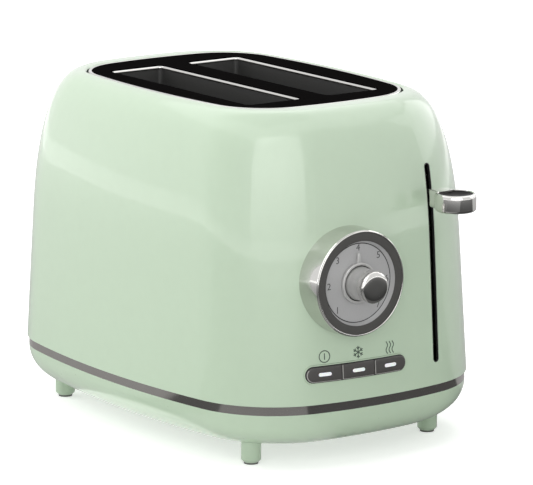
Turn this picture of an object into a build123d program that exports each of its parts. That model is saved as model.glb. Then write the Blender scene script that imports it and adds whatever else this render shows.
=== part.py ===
"""Two-slot pop-up toaster with a drawn steel cover, side lever and browning dial.

Millimetres. X is the width, Y the length with the controls at -Y, Z up.
The origin is on the table, midway between the four feet.
"""
from build123d import *
import math
import os

# Driving dimensions: stack of the housing, from the table up
foot_height = 10.0
base_depth = 21.3
belt_height = 5.0
cover_height = 152.2

# Plan of the cover at its lower edge, with bowed sides and ends
body_width = 182.0
body_length = 259.2
side_bow_radius = 530.0
end_bow_radius = 240.0
corner_radius = 53.5
corner_shrink = 0.42

# Cover's lean and shoulder
cover_wall = 0.9
side_lean = 0.043
end_lean = 0.066
shoulder_rise = 80.0
shoulder_reach = 22.6
shoulder_power = 2.4
lip_roll = 0.8

# Base bowl, belt and feet
belt_setback = 1.0
belt_thickness = 3.2
belt_tongue = 4.0
tongue_clearance = 0.6
base_wall = 2.2
base_reach = 27.0
base_power = 2.1
foot_side_inset = 32.0
foot_end_inset = 38.6
leg_top_radius = 5.8
leg_bottom_radius = 5.4
leg_chamfer = 1.3
pad_radius = 3.9
pad_height = 2.4
pad_exposed = 1.0
boss_foot_offset = 1.0
boss_y = 62.0
boss_radius = 4.5
screw_radius = 1.5
screw_head_radius = 3.2
screw_head_height = 2.0
screw_play = 0.1
deck_height = 28.0
sheet = 1.0
vent_length = 40.0
vent_width = 3.0
vent_pitch = 9.0
vent_count = 7

# Top panel, its trim ring and the bread slots
panel_side_margin = 15.9
panel_end_margin = 20.7
panel_corner = 32.5
panel_thickness = 3.4
panel_drop = 0.5
trim_thickness = 1.6
trim_height = 6.4
trim_ledge = 2.0
trim_proud = 0.3
opening_corner = 31.0
fit_gap = 0.4
slot_length = 135.0
slot_width = 36.4
slot_spacing = 51.8
slot_corner = 4.0
liner_lip = 1.6
liner_bead = 0.65
liner_depth = 27.0
liner_wall = 0.8
liner_flange = 3.0
liner_flange_thickness = 1.0

# Bread chamber
chamber_end_margin = 7.5
plate_side_margin = 12.9
plate_top_flange = 3.5
bracket_tab = 8.0
card_margin = 6.4
card_thickness = 1.0
card_bottom = 47.0
card_top = 156.0
ribbon_width = 2.4
ribbon_thickness = 0.5
ribbon_runs = 9
ribbon_margin = 8.0
shield_thickness = 0.8
guard_offset = 15.6
guard_bar = 1.8
guard_rail_radius = 1.5
guard_pivot_height = 40.0
guard_height = 115.0
guard_bars = 8
guard_end_gap = 3.0
pivot_clearance = 0.05
crumb_slot_width = 16.0
crumb_slot_count = 6

# Lever, carriage and latch
lever_x = 37.8
lever_reach = 22.5
lever_travel = 75.0
lever_lift = 10.0
lever_slot_width = 3.7
arm_end_play = 3.3
slot_end_room = 11.4
puck_radius = 11.0
puck_height = 9.6
puck_chamfer = 1.6
puck_rim = 2.6
inlay_thickness = 1.2
inlay_edge = 0.6
dish_depth = 1.6
neck_width = 12.0
neck_wall_gap = 0.8
arm_thickness = 2.4
arm_height = 7.0
arm_tongue = 6.0
arm_play = 0.1
rack_height = 120.0
rack_thickness = 2.0
rack_web = 8.0
rack_finger_width = 14.0
rack_finger_length = 5.0
rack_finger_count = 7
rack_play = 1.0
rack_tip = 4.0
carriage_sheet = 2.0
carriage_gap = 3.0
carriage_bar_height = 14.0
slider_width = 16.0
slider_depth = 14.0
slider_height = 19.0
rod_radius = 3.0
rod_clearance = 0.05
rod_offset = 6.0
rod_end = 2.0
bracket_drop = 14.2
bracket_room = 6.0
latch_x = 22.0
latch_width = 16.0
latch_depth = 12.0
latch_thickness = 3.0
latch_gap = 0.5
magnet_leg = 3.2
coil_radius = 4.2
coil_flange = 1.0
spring_gap = 0.8
spring_radius = 3.0
spring_wire = 0.9
spring_turns = 8
spring_ear = 2.0

# Browning dial
dial_x = -19.5
dial_height = 100.4
dial_reach = 10.6
bezel_base_radius = 29.0
bezel_rim_radius = 28.0
bezel_rim_width = 0.75
bezel_wall = 1.6
bezel_round = 0.9
spigot_radius = 23.4
spigot_wall = 1.6
spigot_depth = 14.0
ring_inner_radius = 22.65
ring_thickness = 2.8
ring_recess = 0.35
face_recess = 3.0
face_thickness = 2.0
face_bevel = 1.3
face_groove = 0.4
face_step = 0.35
shaft_room = 1.5
knob_gap = 0.3
skirt_radius = 10.9
skirt_thickness = 1.5
pointer_length = 5.0
pointer_base = 3.0
pointer_tip = 1.4
stem_radius = 9.0
stem_front_radius = 8.0
stem_length = 8.4
stem_groove = 0.5
cap_radius = 8.6
cap_length = 5.6
cap_round = 2.2
cap_crown = 0.7
shaft_radius = 3.0
shaft_clearance = 0.05
shaft_play = 0.05
pot_radius = 8.0
pot_bush_radius = 4.6
pot_length = 8.0
pot_bush_length = 2.0
pot_back = 0.6

# Buttons
button_x = -16.2
button_height = 52.4
button_row_length = 61.6
button_size = 8.0
button_proud = 1.2
button_depth = 6.0
button_gap = 0.35
button_frame_wall = 0.7
button_frame_proud = 0.25
button_pitch = 20.4
button_travel = 1.2
plunger_radius = 2.0
light_length = 8.7
light_width = 2.3
light_depth = 2.5
light_proud = 0.06
light_play = 0.05
switch_size = 6.0
switch_depth = 4.5

# Control board
board_thickness = 1.6
board_setback = 26.6
board_left = -54.0
board_right = 14.0
board_bottom = 40.0
board_top = 122.0
holder_thickness = 2.5
holder_rim = 8.0
holder_foot = 12.0

# Crumb tray and cord inlet
tray_side_gap = 5.5
tray_wall = 0.8
tray_height = 7.5
tray_lead = 5.0
tray_setback = 22.6
tray_play = 0.3
runner_height = 1.5
runner_width = 3.0
runner_inset = 10.0
tray_web = 5.0
tray_web_inset = 12.0
tray_face_margin = 4.0
tray_face_play = 0.4
tray_face_height = 11.3
pull_half_width = 21.0
pull_reach = 5.0
pull_thickness = 2.2
gland_inset = 2.0
gland_y = 40.0
gland_bore = 3.6
gland_radius = 5.0
gland_flange = 6.3
gland_flange_height = 1.2

# Heights and half sizes that follow from the driving dimensions
base_top = foot_height + base_depth
belt_top = base_top + belt_height
cover_top = belt_top + cover_height
shoulder_start = cover_top - shoulder_rise
belt_half_width = body_width / 2 - belt_setback
belt_half_length = body_length / 2 - belt_setback
base_floor = foot_height + base_wall
deck_top = deck_height + sheet
panel_top = cover_top - panel_drop
panel_bottom = panel_top - panel_thickness
foot_x = body_width / 2 - foot_side_inset
foot_y = body_length / 2 - foot_end_inset
boss_x = foot_x - boss_foot_offset
slot_x = slot_spacing / 2
slots_half_width = slot_x + slot_width / 2
panel_half_width = slots_half_width + panel_side_margin
panel_half_length = slot_length / 2 + panel_end_margin
chamber_half_length = slot_length / 2 + chamber_end_margin
plate_half_width = slots_half_width + plate_side_margin
plate_outer = chamber_half_length + sheet
plate_neck = slots_half_width - liner_flange
card_offset = slots_half_width + card_margin
board_y = board_setback - body_length / 2
bracket_height = panel_bottom - trim_height - bracket_drop
rod_top = bracket_height + carriage_sheet + rod_end
lever_height = bracket_height - bracket_room - lever_lift - slider_height / 2
lever_slot_top = lever_height + lever_lift + arm_height / 2 + arm_end_play
lever_slot_bottom = lever_height - lever_travel - arm_height / 2 - slot_end_room
tray_half_width = boss_x - boss_radius - tray_side_gap
runner_x = tray_half_width - runner_inset
tray_web_x = tray_half_width - tray_web_inset
gland_x = boss_x - gland_inset
tray_front_end = -chamber_half_length - tray_lead
tray_rear_end = belt_half_length - tray_setback
rod_x = lever_x + rod_offset
spring_x = rod_x + slider_width / 2 + spring_gap + spring_radius + spring_wire
full_turn = 360.0
WALL_SECTIONS = 5
SHOULDER_ANGLES = (0, 4, 10, 18, 27, 37, 47, 57, 66, 74, 81, 88)
BOWL_ANGLES = (0, 12, 24, 36, 48, 59, 69, 78, 87)
LEFT_AND_RIGHT = {"left": -1, "right": 1}
FRONT_AND_REAR = {"front": -1, "rear": 1}


# Shared shapes

def box(x0, x1, y0, y1, z0, z1):
    """Block between two corners."""
    centre = Pos((x0 + x1) / 2, (y0 + y1) / 2, (z0 + z1) / 2)
    return centre * Box(abs(x1 - x0), abs(y1 - y0), abs(z1 - z0))


def rod_z(x, y, z0, z1, radius):
    """Upright cylinder."""
    return Pos(x, y, (z0 + z1) / 2) * Cylinder(radius, abs(z1 - z0))


def rod_y(x, z, y0, y1, radius):
    """Cylinder along the length."""
    return Pos(x, (y0 + y1) / 2, z) * Rot(90, 0, 0) * Cylinder(radius, abs(y1 - y0))


def turned_z(points):
    """Solid turned about Z from (radius, height) points."""
    outline = Polyline(*[(r, 0, z) for r, z in points], close=True)
    return revolve(make_face(outline), Axis.Z, full_turn)


def turned_y(points):
    """Solid turned about Y from (radius, y) points."""
    outline = Polyline(*[(r, y, 0) for r, y in points], close=True)
    return revolve(make_face(outline), Axis.Y, full_turn)


def pill_prism(x, z, length, height, y0, y1):
    """Rounded bar outline in the X-Z plane, carried from y0 to y1."""
    outline = Pos(x, y1, z) * Rot(90, 0, 0) * SlotOverall(length, height)
    return extrude(outline, amount=y1 - y0)


def bowed_outline(half_width, half_length, corner, z, grow=0.0):
    """Rounded rectangle with bowed sides and ends, moved outwards by grow."""
    width = half_width + grow
    length = half_length + grow
    side_radius = side_bow_radius + grow
    end_radius = end_bow_radius + grow
    round_radius = corner + grow
    side_centre = Vector(width - side_radius, 0)
    end_centre = Vector(0, length - end_radius)
    to_side = side_radius - round_radius
    to_end = end_radius - round_radius
    between = end_centre - side_centre
    along = (to_side**2 - to_end**2 + between.length**2) / (2 * between.length)
    across = math.sqrt(to_side**2 - along**2)
    unit = between.normalized()
    corner_centre = side_centre + unit * along + Vector(-unit.Y, unit.X) * across
    side_end = side_centre + (corner_centre - side_centre).normalized() * side_radius
    end_end = end_centre + (corner_centre - end_centre).normalized() * end_radius
    bisector = (side_end - corner_centre) + (end_end - corner_centre)
    corner_mid = corner_centre + bisector.normalized() * round_radius

    def place(point, sx, sy):
        return (point.X * sx, point.Y * sy, z)

    edges = []
    for sx, sy, first, last in ((1, 1, side_end, end_end), (-1, 1, end_end, side_end),
                                (-1, -1, side_end, end_end), (1, -1, end_end, side_end)):
        edges.append(ThreePointArc(place(first, sx, sy), place(corner_mid, sx, sy), place(last, sx, sy)))
        if first is side_end:
            edges.append(ThreePointArc(place(last, sx, sy), (0, length * sy, z), place(last, -sx, sy)))
        else:
            edges.append(ThreePointArc(place(last, sx, sy), (width * sx, 0, z), place(last, sx, -sy)))
    return make_face(edges)


def bowed_slab(half_width, half_length, corner, z0, z1, grow=0.0):
    """Bowed outline carried up from z0 to z1."""
    return extrude(bowed_outline(half_width, half_length, corner, z0, grow), amount=z1 - z0)


def bowed_ring(half_width, half_length, corner, z0, z1, thickness, grow=0.0):
    """Band that follows the bowed outline on its inside."""
    outer = bowed_slab(half_width, half_length, corner, z0, z1, grow)
    return outer - bowed_slab(half_width, half_length, corner, z0 - 1, z1 + 1, grow - thickness)


def quarter_curve(angle, power):
    """Point of a unit superellipse: its share across and its share up."""
    theta = math.radians(angle)
    across = math.cos(theta) ** (2 / power)
    up = math.sin(theta) ** (2 / power)
    return across, up


def section_normal(across, up, reach, rise, power):
    """Horizontal and vertical parts of the outward normal of that curve."""
    horizontal = across ** (power - 1) / reach
    vertical = up ** (power - 1) / rise
    size = math.hypot(horizontal, vertical)
    return horizontal / size, vertical / size


def cover_solid(offset=0.0, bottom=None):
    """Solid of the cover's outer form, moved outwards by offset."""
    bottom = belt_top if bottom is None else bottom
    step = (shoulder_start - bottom) / WALL_SECTIONS
    levels = [(bottom + index * step, 0.0, 1.0, 0.0) for index in range(WALL_SECTIONS)]
    for angle in SHOULDER_ANGLES:
        across, up = quarter_curve(angle, shoulder_power)
        outward, upward = section_normal(across, up, shoulder_reach, shoulder_rise, shoulder_power)
        inset = shoulder_reach * (1 - across)
        levels.append((shoulder_start + shoulder_rise * up, inset, outward, upward))
    sections = []
    for z, inset, outward, upward in levels:
        side_inset = inset + side_lean * (z - belt_top)
        end_inset = inset + end_lean * (z - belt_top)
        sections.append(bowed_outline(body_width / 2 - side_inset, body_length / 2 - end_inset,
                                      corner_radius - corner_shrink * side_inset,
                                      z + offset * upward, offset * outward))
    return loft(sections)


def bowl_solid(offset=0.0, top=None):
    """Solid of the base bowl's outer form, moved outwards by offset."""
    top = base_top if top is None else top
    sections = []
    if top > base_top:
        sections.append(bowed_outline(belt_half_width, belt_half_length, corner_radius - belt_setback,
                                      top, offset))
    for angle in BOWL_ANGLES:
        across, down = quarter_curve(angle, base_power)
        outward, downward = section_normal(across, down, base_reach, base_depth, base_power)
        inset = base_reach * (1 - across)
        z = base_top - base_depth * down - offset * downward
        sections.append(bowed_outline(belt_half_width - inset, belt_half_length - inset,
                                      corner_radius - belt_setback - corner_shrink * inset,
                                      z, offset * outward))
    return loft(sections)


def front_wall(x, z):
    """Y of the cover's front face at a place on it."""
    rise = max(z - shoulder_start, 0.0) / shoulder_rise
    shoulder = shoulder_reach * (1 - (1 - rise**shoulder_power) ** (1 / shoulder_power))
    half_length = body_length / 2 - end_lean * (z - belt_top) - shoulder
    bow = end_bow_radius - math.sqrt(end_bow_radius**2 - x**2)
    return bow - half_length


# Housing

def make_body_shell():
    """Cover: thin drawn shell with its top opening and the holes for the controls."""
    shell = cover_solid() - cover_solid(-cover_wall, belt_top - lip_roll)
    opening = (panel_half_width + trim_thickness + fit_gap, panel_half_length + trim_thickness + fit_gap,
               opening_corner)
    shell -= bowed_slab(*opening, panel_bottom - trim_height, cover_top + lip_roll)
    rolled = [bowed_outline(*opening, cover_top - lip_roll),
              bowed_outline(*opening, cover_top + lip_roll, 2 * lip_roll)]
    shell -= loft(rolled, ruled=True)
    inside = front_wall(0, cover_top)
    outside = -body_length
    slot_mid = (lever_slot_top + lever_slot_bottom) / 2
    slot = Pos(lever_x, inside, slot_mid) * Rot(90, 0, 0) * Rot(0, 0, 90)
    slot *= SlotOverall(lever_slot_top - lever_slot_bottom, lever_slot_width)
    shell -= extrude(slot, amount=inside - outside)
    shell -= rod_y(dial_x, dial_height, outside, inside, spigot_radius + fit_gap / 2)
    window = button_row_length + 2 * (button_gap + button_frame_wall) + fit_gap / 2
    window_height = button_size + 2 * (button_gap + button_frame_wall) + fit_gap / 2
    shell -= pill_prism(button_x, button_height, window, window_height, outside, inside)
    return {"body_shell": shell}


def make_belt_band():
    """Polished band with a tongue that locates the cover."""
    band = bowed_ring(belt_half_width, belt_half_length, corner_radius - belt_setback,
                      base_top, belt_top, belt_thickness)
    inner_grow = -cover_wall - tongue_clearance
    tongue_thickness = belt_thickness + belt_setback + inner_grow
    band += bowed_ring(body_width / 2, body_length / 2, corner_radius, belt_top, belt_top + belt_tongue,
                       tongue_thickness, inner_grow)
    return {"belt_band": band}


def tray_window(play):
    """Cutter for the tray's opening in the back of the base."""
    half = tray_half_width + tray_face_margin + play
    bottom = tray_floor_height() - tray_face_play
    return box(-half, half, tray_rear_end - boss_radius, body_length, bottom - play,
               bottom + tray_face_height + play)


def tray_floor_height():
    """Underside of the crumb tray."""
    return base_floor + runner_height + tray_play


def make_base_pan():
    """Bowl with bosses, tray runners, vents, the tray's opening and the cord inlet's hole."""
    bowl = bowl_solid() - bowl_solid(-base_wall, base_top + belt_height)
    places = [(x, y) for x in (-boss_x, boss_x) for y in (-boss_y, boss_y)]
    for x, y in places:
        bowl += rod_z(x, y, base_floor - base_wall / 2, deck_height, boss_radius)
    for x, y in places:
        bowl -= rod_z(x, y, 0, deck_height + 1, screw_radius + screw_play)
        bowl -= rod_z(x, y, 0, foot_height + screw_head_height + screw_play,
                      screw_head_radius + screw_play)
    for x in (-runner_x, runner_x):
        runner_end = tray_rear_end - 2 * boss_radius
        bowl += box(x - runner_width / 2, x + runner_width / 2, tray_front_end, runner_end,
                    base_floor - base_wall / 2, base_floor + runner_height)
    for index in range(vent_count):
        y = (index - (vent_count - 1) / 2) * vent_pitch
        vent = Pos(0, y, 0) * SlotOverall(vent_length, vent_width)
        bowl -= extrude(vent, amount=base_floor + 1)
    bowl -= tray_window(tray_face_play)
    bowl -= rod_z(gland_x, gland_y, 0, deck_height, gland_radius)
    return {"base_pan": bowl}


def make_feet():
    """Legs that meet the bowl along its curve, each with a rubber pad let into its end."""
    bowl = bowl_solid()
    nodes = {}
    pads = []
    for end, sy in FRONT_AND_REAR.items():
        for side, sx in LEFT_AND_RIGHT.items():
            place = Pos(sx * foot_x, sy * foot_y, 0)
            leg = turned_z([(0, pad_exposed), (leg_bottom_radius - leg_chamfer, pad_exposed),
                            (leg_bottom_radius, pad_exposed + leg_chamfer),
                            (leg_top_radius, base_top), (0, base_top)])
            leg -= rod_z(0, 0, 0, pad_height, pad_radius)
            nodes[f"leg_{end}_{side}"] = place * leg - bowl
            pads.append(place * rod_z(0, 0, 0, pad_height, pad_radius))
    nodes["foot_pads"] = Compound(children=pads)
    return nodes


def make_base_screws():
    """Four screws that hold the deck and the base together."""
    screws = []
    for x in (-boss_x, boss_x):
        for y in (-boss_y, boss_y):
            screw = rod_z(x, y, foot_height, foot_height + screw_head_height, screw_head_radius)
            screws.append(screw + rod_z(x, y, foot_height, deck_top, screw_radius))
    return {"base_screws": Compound(children=screws)}


def make_cord_gland():
    """Flanged bush in the base's floor, where the mains lead goes in."""
    low = foot_height - gland_flange_height
    top = base_floor + gland_flange_height
    gland = turned_z([(gland_bore, low), (gland_flange, low), (gland_flange, foot_height),
                      (gland_radius, foot_height), (gland_radius, top), (gland_bore, top)])
    return {"cord_gland": Pos(gland_x, gland_y, 0) * gland}


# Top

def slot_outline(grow, z0, z1):
    """Rounded slot prism at the origin."""
    length = slot_length + 2 * grow
    width = slot_width + 2 * grow
    return extrude(Pos(0, 0, z0) * RectangleRounded(width, length, slot_corner + grow), amount=z1 - z0)


def make_top():
    """Black panel, its chrome edge band and the two slot liners."""
    outline = (panel_half_width, panel_half_length, panel_corner)
    trim_top = panel_top + trim_proud
    trim_bottom = trim_top - trim_height
    trim = bowed_ring(*outline, trim_bottom, trim_top, trim_thickness, trim_thickness)
    ledge = bowed_ring(*outline, trim_bottom, panel_bottom, trim_ledge + trim_thickness, trim_thickness)
    panel = bowed_slab(*outline, panel_bottom, panel_top, -fit_gap / 4)
    nodes = {}
    for side, sign in LEFT_AND_RIGHT.items():
        place = Pos(sign * slot_x, 0, 0)
        panel -= place * slot_outline(0, panel_bottom - 1, panel_top + 1)
        lip = slot_outline(-fit_gap / 4, panel_bottom - liner_flange_thickness, panel_top + trim_proud)
        lip -= slot_outline(-liner_lip, panel_bottom - panel_thickness, panel_top + 1)
        top_edges = lip.edges().filter_by_position(Axis.Z, panel_top, panel_top + 1)
        lip = fillet(top_edges, liner_bead)
        wall = slot_outline(-liner_lip + liner_wall, panel_top - liner_depth, panel_bottom)
        wall -= slot_outline(-liner_lip, panel_top - liner_depth - 1, panel_bottom + 1)
        flange = slot_outline(liner_flange, panel_bottom - liner_flange_thickness, panel_bottom)
        flange -= slot_outline(-liner_lip, panel_bottom - panel_thickness, panel_bottom + 1)
        nodes[f"slot_liner_{side}"] = place * (lip + wall + flange)
    nodes["top_panel"] = panel
    nodes["top_trim_ring"] = trim + ledge
    return nodes


# Bread chamber

def rack_bottom():
    """Lower edge of the racks at rest."""
    return rack_height - rack_web


def make_chassis():
    """Deck with crumb slots, two end plates and two heat shields."""
    deck_y = -board_y + holder_foot
    deck_plan = RectangleRounded(2 * (boss_x + boss_radius), 2 * deck_y, corner_radius / 2)
    deck = extrude(Pos(0, 0, deck_height) * deck_plan, amount=sheet)
    span = 2 * (chamber_half_length - crumb_slot_width / 2)
    for sign in LEFT_AND_RIGHT.values():
        for index in range(crumb_slot_count):
            y = span * ((index + 0.5) / crumb_slot_count - 0.5)
            opening = Pos(sign * slot_x, y, deck_height - 1) * RectangleRounded(
                slot_width - liner_flange, crumb_slot_width, slot_corner / 2)
            deck -= extrude(opening, amount=sheet + 2)
    for x in (-boss_x, boss_x):
        for y in (-boss_y, boss_y):
            deck -= rod_z(x, y, deck_height - 1, deck_top + 1, screw_radius + screw_play)
    deck -= rod_z(rod_x, rod_y_place(), deck_height - 1, deck_top + 1, rod_radius + rod_clearance)
    nodes = {"chassis_floor": deck}
    slot_low = rack_bottom() - lever_travel - rack_play
    slot_high = rack_height + lever_lift + rack_play
    for end, sign in FRONT_AND_REAR.items():
        plate = box(-plate_half_width, plate_half_width, sign * chamber_half_length, sign * plate_outer,
                    deck_top, panel_bottom - trim_height)
        plate += box(-plate_neck, plate_neck, sign * chamber_half_length, sign * plate_outer,
                     deck_top, panel_bottom)
        plate += box(-plate_neck, plate_neck, sign * chamber_half_length,
                     sign * (plate_outer + plate_top_flange), panel_bottom - sheet, panel_bottom)
        for side in LEFT_AND_RIGHT.values():
            half = rack_thickness / 2 + rack_play
            plate -= box(side * slot_x - half, side * slot_x + half, sign * (chamber_half_length - 1),
                         sign * (plate_outer + 1), slot_low, slot_high)
            for guard in (-guard_offset, guard_offset):
                plate -= rod_y(side * slot_x + guard, guard_pivot_height,
                               sign * (chamber_half_length - 1), sign * (plate_outer + 1),
                               guard_rail_radius + pivot_clearance)
        nodes[f"{end}_plate"] = plate
    for side, sign in LEFT_AND_RIGHT.items():
        inner = plate_half_width - shield_thickness
        nodes[f"heat_shield_{side}"] = box(sign * inner, sign * plate_half_width, -chamber_half_length,
                                           chamber_half_length, deck_top, panel_bottom - liner_flange)
    return nodes


def serpentine(x0, x1):
    """One unbroken heating ribbon laid back and forth on a card."""
    low = card_bottom + ribbon_margin
    high = card_top - ribbon_margin
    half = chamber_half_length - ribbon_margin
    pitch = (high - low) / (ribbon_runs - 1)
    ribbon = None
    for index in range(ribbon_runs):
        z = low + index * pitch
        run = box(x0, x1, -half, half, z - ribbon_width / 2, z + ribbon_width / 2)
        ribbon = run if ribbon is None else ribbon + run
        if index + 1 < ribbon_runs:
            end = half if index % 2 == 0 else -half + ribbon_width
            ribbon += box(x0, x1, end - ribbon_width, end, z, z + pitch)
    return ribbon


def make_heaters():
    """Three mica cards and the ribbons on their bread sides."""
    nodes = {}
    ribbons = []
    half = card_thickness / 2
    places = (("left", -card_offset, (1,)), ("center", 0.0, (-1, 1)), ("right", card_offset, (-1,)))
    for name, x, faces in places:
        nodes[f"heater_card_{name}"] = box(x - half, x + half, -chamber_half_length, chamber_half_length,
                                           card_bottom, card_top)
        for face in faces:
            surface = x + face * half
            ribbons.append(serpentine(surface, surface + face * ribbon_thickness))
    nodes["heater_ribbons"] = Compound(children=ribbons)
    return nodes


def make_guards():
    """Four grids that swing about their lower rails, held in the end plates."""
    half = chamber_half_length - guard_end_gap
    top = guard_pivot_height + guard_height
    nodes = {}
    for side, sign in LEFT_AND_RIGHT.items():
        for place, offset in (("outer", guard_offset), ("inner", -guard_offset)):
            x = sign * (slot_x + offset)
            guard = rod_y(x, guard_pivot_height, -plate_outer, plate_outer, guard_rail_radius)
            guard += box(x - guard_bar / 2, x + guard_bar / 2, -half, half, top - guard_bar, top)
            for index in range(guard_bars):
                y = -half + guard_bar / 2 + index * (2 * half - guard_bar) / (guard_bars - 1)
                guard += box(x - guard_bar / 2, x + guard_bar / 2, y - guard_bar / 2, y + guard_bar / 2,
                             guard_pivot_height, top)
            nodes[f"guard_{side}_{place}"] = guard
    return nodes


# Lever and carriage

def rod_y_place():
    """Guide rod's place along the body, in the middle of the slider."""
    return carriage_front() - slider_depth / 2


def carriage_back():
    """Face of the carriage next to the front plate."""
    return -plate_outer - carriage_gap


def carriage_front():
    """Face of the carriage sheet towards the controls."""
    return carriage_back() - carriage_sheet


def puck_y():
    """Centre of the lever's puck."""
    return front_wall(lever_x, lever_height) - lever_reach


def make_lever():
    """Chrome puck with its neck, dished black inlay and the arm through the cover's slot."""
    low = lever_height - puck_height / 2
    high = lever_height + puck_height / 2
    rim = puck_radius - puck_rim
    puck = turned_z([(0, low), (puck_radius - puck_chamfer, low), (puck_radius, low + puck_chamfer),
                     (puck_radius, high - puck_chamfer), (puck_radius - puck_chamfer, high),
                     (rim, high), (rim - dish_depth, high - dish_depth - inlay_thickness),
                     (0, high - dish_depth - inlay_thickness)])
    lowest_wall = front_wall(lever_x - neck_width / 2, lever_height - puck_height / 2 - lever_travel)
    neck_end = lowest_wall - neck_wall_gap
    neck = box(lever_x - neck_width / 2, lever_x + neck_width / 2, puck_y(), neck_end, low, high)
    neck = chamfer(neck.edges().filter_by(Axis.Y), puck_chamfer)
    neck -= rod_z(lever_x, puck_y(), low - 1, high + 1, puck_radius - puck_chamfer)
    neck -= Pos(lever_x, puck_y(), 0) * puck
    knob = Pos(lever_x, puck_y(), 0) * puck + neck
    arm_end = neck_end - arm_tongue
    half_arm = arm_height / 2
    knob -= box(lever_x - arm_thickness / 2 - arm_play, lever_x + arm_thickness / 2 + arm_play,
                arm_end - arm_play, neck_end + 1, lever_height - half_arm - arm_play,
                lever_height + half_arm + arm_play)
    dish = rim - dish_depth
    seat = high - dish_depth - inlay_thickness
    edge_up = inlay_edge * (dish_depth + inlay_thickness)
    inlay = turned_z([(0, seat), (dish, seat), (dish + inlay_edge * dish_depth, seat + edge_up),
                      (dish, high - dish_depth), (0, high - dish_depth)])
    arm = box(lever_x - arm_thickness / 2, lever_x + arm_thickness / 2, arm_end,
              carriage_front() - slider_depth, lever_height - half_arm, lever_height + half_arm)
    return {"lever_knob": knob, "lever_inlay": Pos(lever_x, puck_y(), 0) * inlay, "lever_arm": arm}


def shelf_height():
    """Underside of the carriage's shelf, where the latch plate hangs."""
    return rack_height + latch_thickness


def make_carriage():
    """Sliding bracket on the guide rod, with the bread racks and the latch plate."""
    back = carriage_back()
    front = carriage_front()
    low = rack_bottom()
    slider_low = lever_height - slider_height / 2
    slider_high = lever_height + slider_height / 2
    slider_left = rod_x - slider_width / 2 - rod_offset
    slider_right = rod_x + slider_width / 2
    bar = box(-slot_x - rack_thickness, spring_x + spring_radius + spring_wire, back, front, low,
              low + carriage_bar_height)
    upright = box(latch_x - latch_width / 2, slider_right, back, front, low, slider_high)
    slider = box(slider_left, slider_right, front, front - slider_depth, slider_low, slider_high)
    shelf = box(latch_x - latch_width / 2, latch_x + latch_width / 2, front, front - latch_depth,
                shelf_height(), shelf_height() + carriage_sheet)
    ear = box(spring_x - spring_radius - spring_wire, spring_x + spring_radius + spring_wire, front,
              rod_y_place() - spring_radius - spring_wire, low, low + spring_ear)
    carriage = bar + upright + slider + shelf + ear
    carriage -= rod_z(rod_x, rod_y_place(), slider_low - 1, slider_high + 1, rod_radius + rod_clearance)
    nodes = {"carriage": carriage}
    nodes["latch_plate"] = box(latch_x - latch_width / 2, latch_x + latch_width / 2, front - arm_play,
                               front - latch_depth, shelf_height() - latch_thickness, shelf_height())
    for side, sign in LEFT_AND_RIGHT.items():
        x = sign * slot_x
        rack = box(x - rack_thickness / 2, x + rack_thickness / 2, back, plate_outer + rack_tip,
                   low, rack_height)
        reach = chamber_half_length - rack_finger_length - guard_end_gap
        for index in range(rack_finger_count):
            y = reach * (2 * index / (rack_finger_count - 1) - 1)
            rack += box(x - rack_finger_width / 2, x + rack_finger_width / 2, y - rack_finger_length / 2,
                        y + rack_finger_length / 2, rack_height - sheet, rack_height)
        nodes[f"bread_rack_{side}"] = rack
    return nodes


def biarc(start, start_way, end, end_way):
    """Two arcs that leave start and reach end along the given unit directions."""
    chord = end - start
    ways = start_way + end_way
    square = 2 * (start_way.dot(end_way) - 1)
    linear = -2 * chord.dot(ways)
    constant = chord.dot(chord)
    reach = (-linear - math.sqrt(linear**2 - 4 * square * constant)) / (2 * square)
    if reach < 0:
        reach = (-linear + math.sqrt(linear**2 - 4 * square * constant)) / (2 * square)
    middle = (start + start_way * reach + end - end_way * reach) * 0.5
    first = TangentArc(start, middle, tangent=start_way)
    return [first, TangentArc(middle, end, tangent=first % 1)]


def make_spring():
    """Return spring: one unbroken wire wound as a helix, its ends turned upright."""
    low = rack_bottom() + spring_ear
    high = bracket_height
    bend = 2 * spring_wire
    first = low + spring_wire + bend
    rise = (high - low - 2 * spring_wire - 2 * bend) / spring_turns
    centre = Vector(spring_x, rod_y_place(), first)
    slope = rise / (2 * math.pi * spring_radius)

    def at(turn):
        angle = 2 * math.pi * turn
        across = spring_radius * math.cos(angle)
        along = spring_radius * math.sin(angle)
        return centre + Vector(across, along, rise * turn)

    def way(turn):
        angle = 2 * math.pi * turn
        return Vector(-math.sin(angle), math.cos(angle), slope).normalized()

    up = Vector(0, 0, 1)
    begin = at(0) - Vector(0, bend, bend)
    finish = at(spring_turns) + Vector(0, bend, bend)
    edges = [Line(begin - up * spring_wire, begin)]
    edges += biarc(begin, up, at(0), way(0))
    for step in range(4 * spring_turns):
        edges += biarc(at(step / 4), way(step / 4), at((step + 1) / 4), way((step + 1) / 4))
    edges += biarc(at(spring_turns), way(spring_turns), finish, up)
    edges.append(Line(finish, finish + up * spring_wire))
    path = Wire(edges)
    section = Plane(origin=edges[0] @ 0, z_dir=up) * Circle(spring_wire / 2)
    spring = sweep(section, path=path)
    points = [at(step / 24) for step in range(24 * spring_turns + 1)]
    gaps = [(a - b).length - spring_wire for i, a in enumerate(points) for b in points[i + 12:]]
    swept_volume = math.pi * (spring_wire / 2) ** 2 * path.length
    print("spring least gap", round(min(gaps), 2))
    print("spring volume", round(spring.volume, 1), "section times length", round(swept_volume, 1))
    return {"return_spring": spring}


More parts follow.
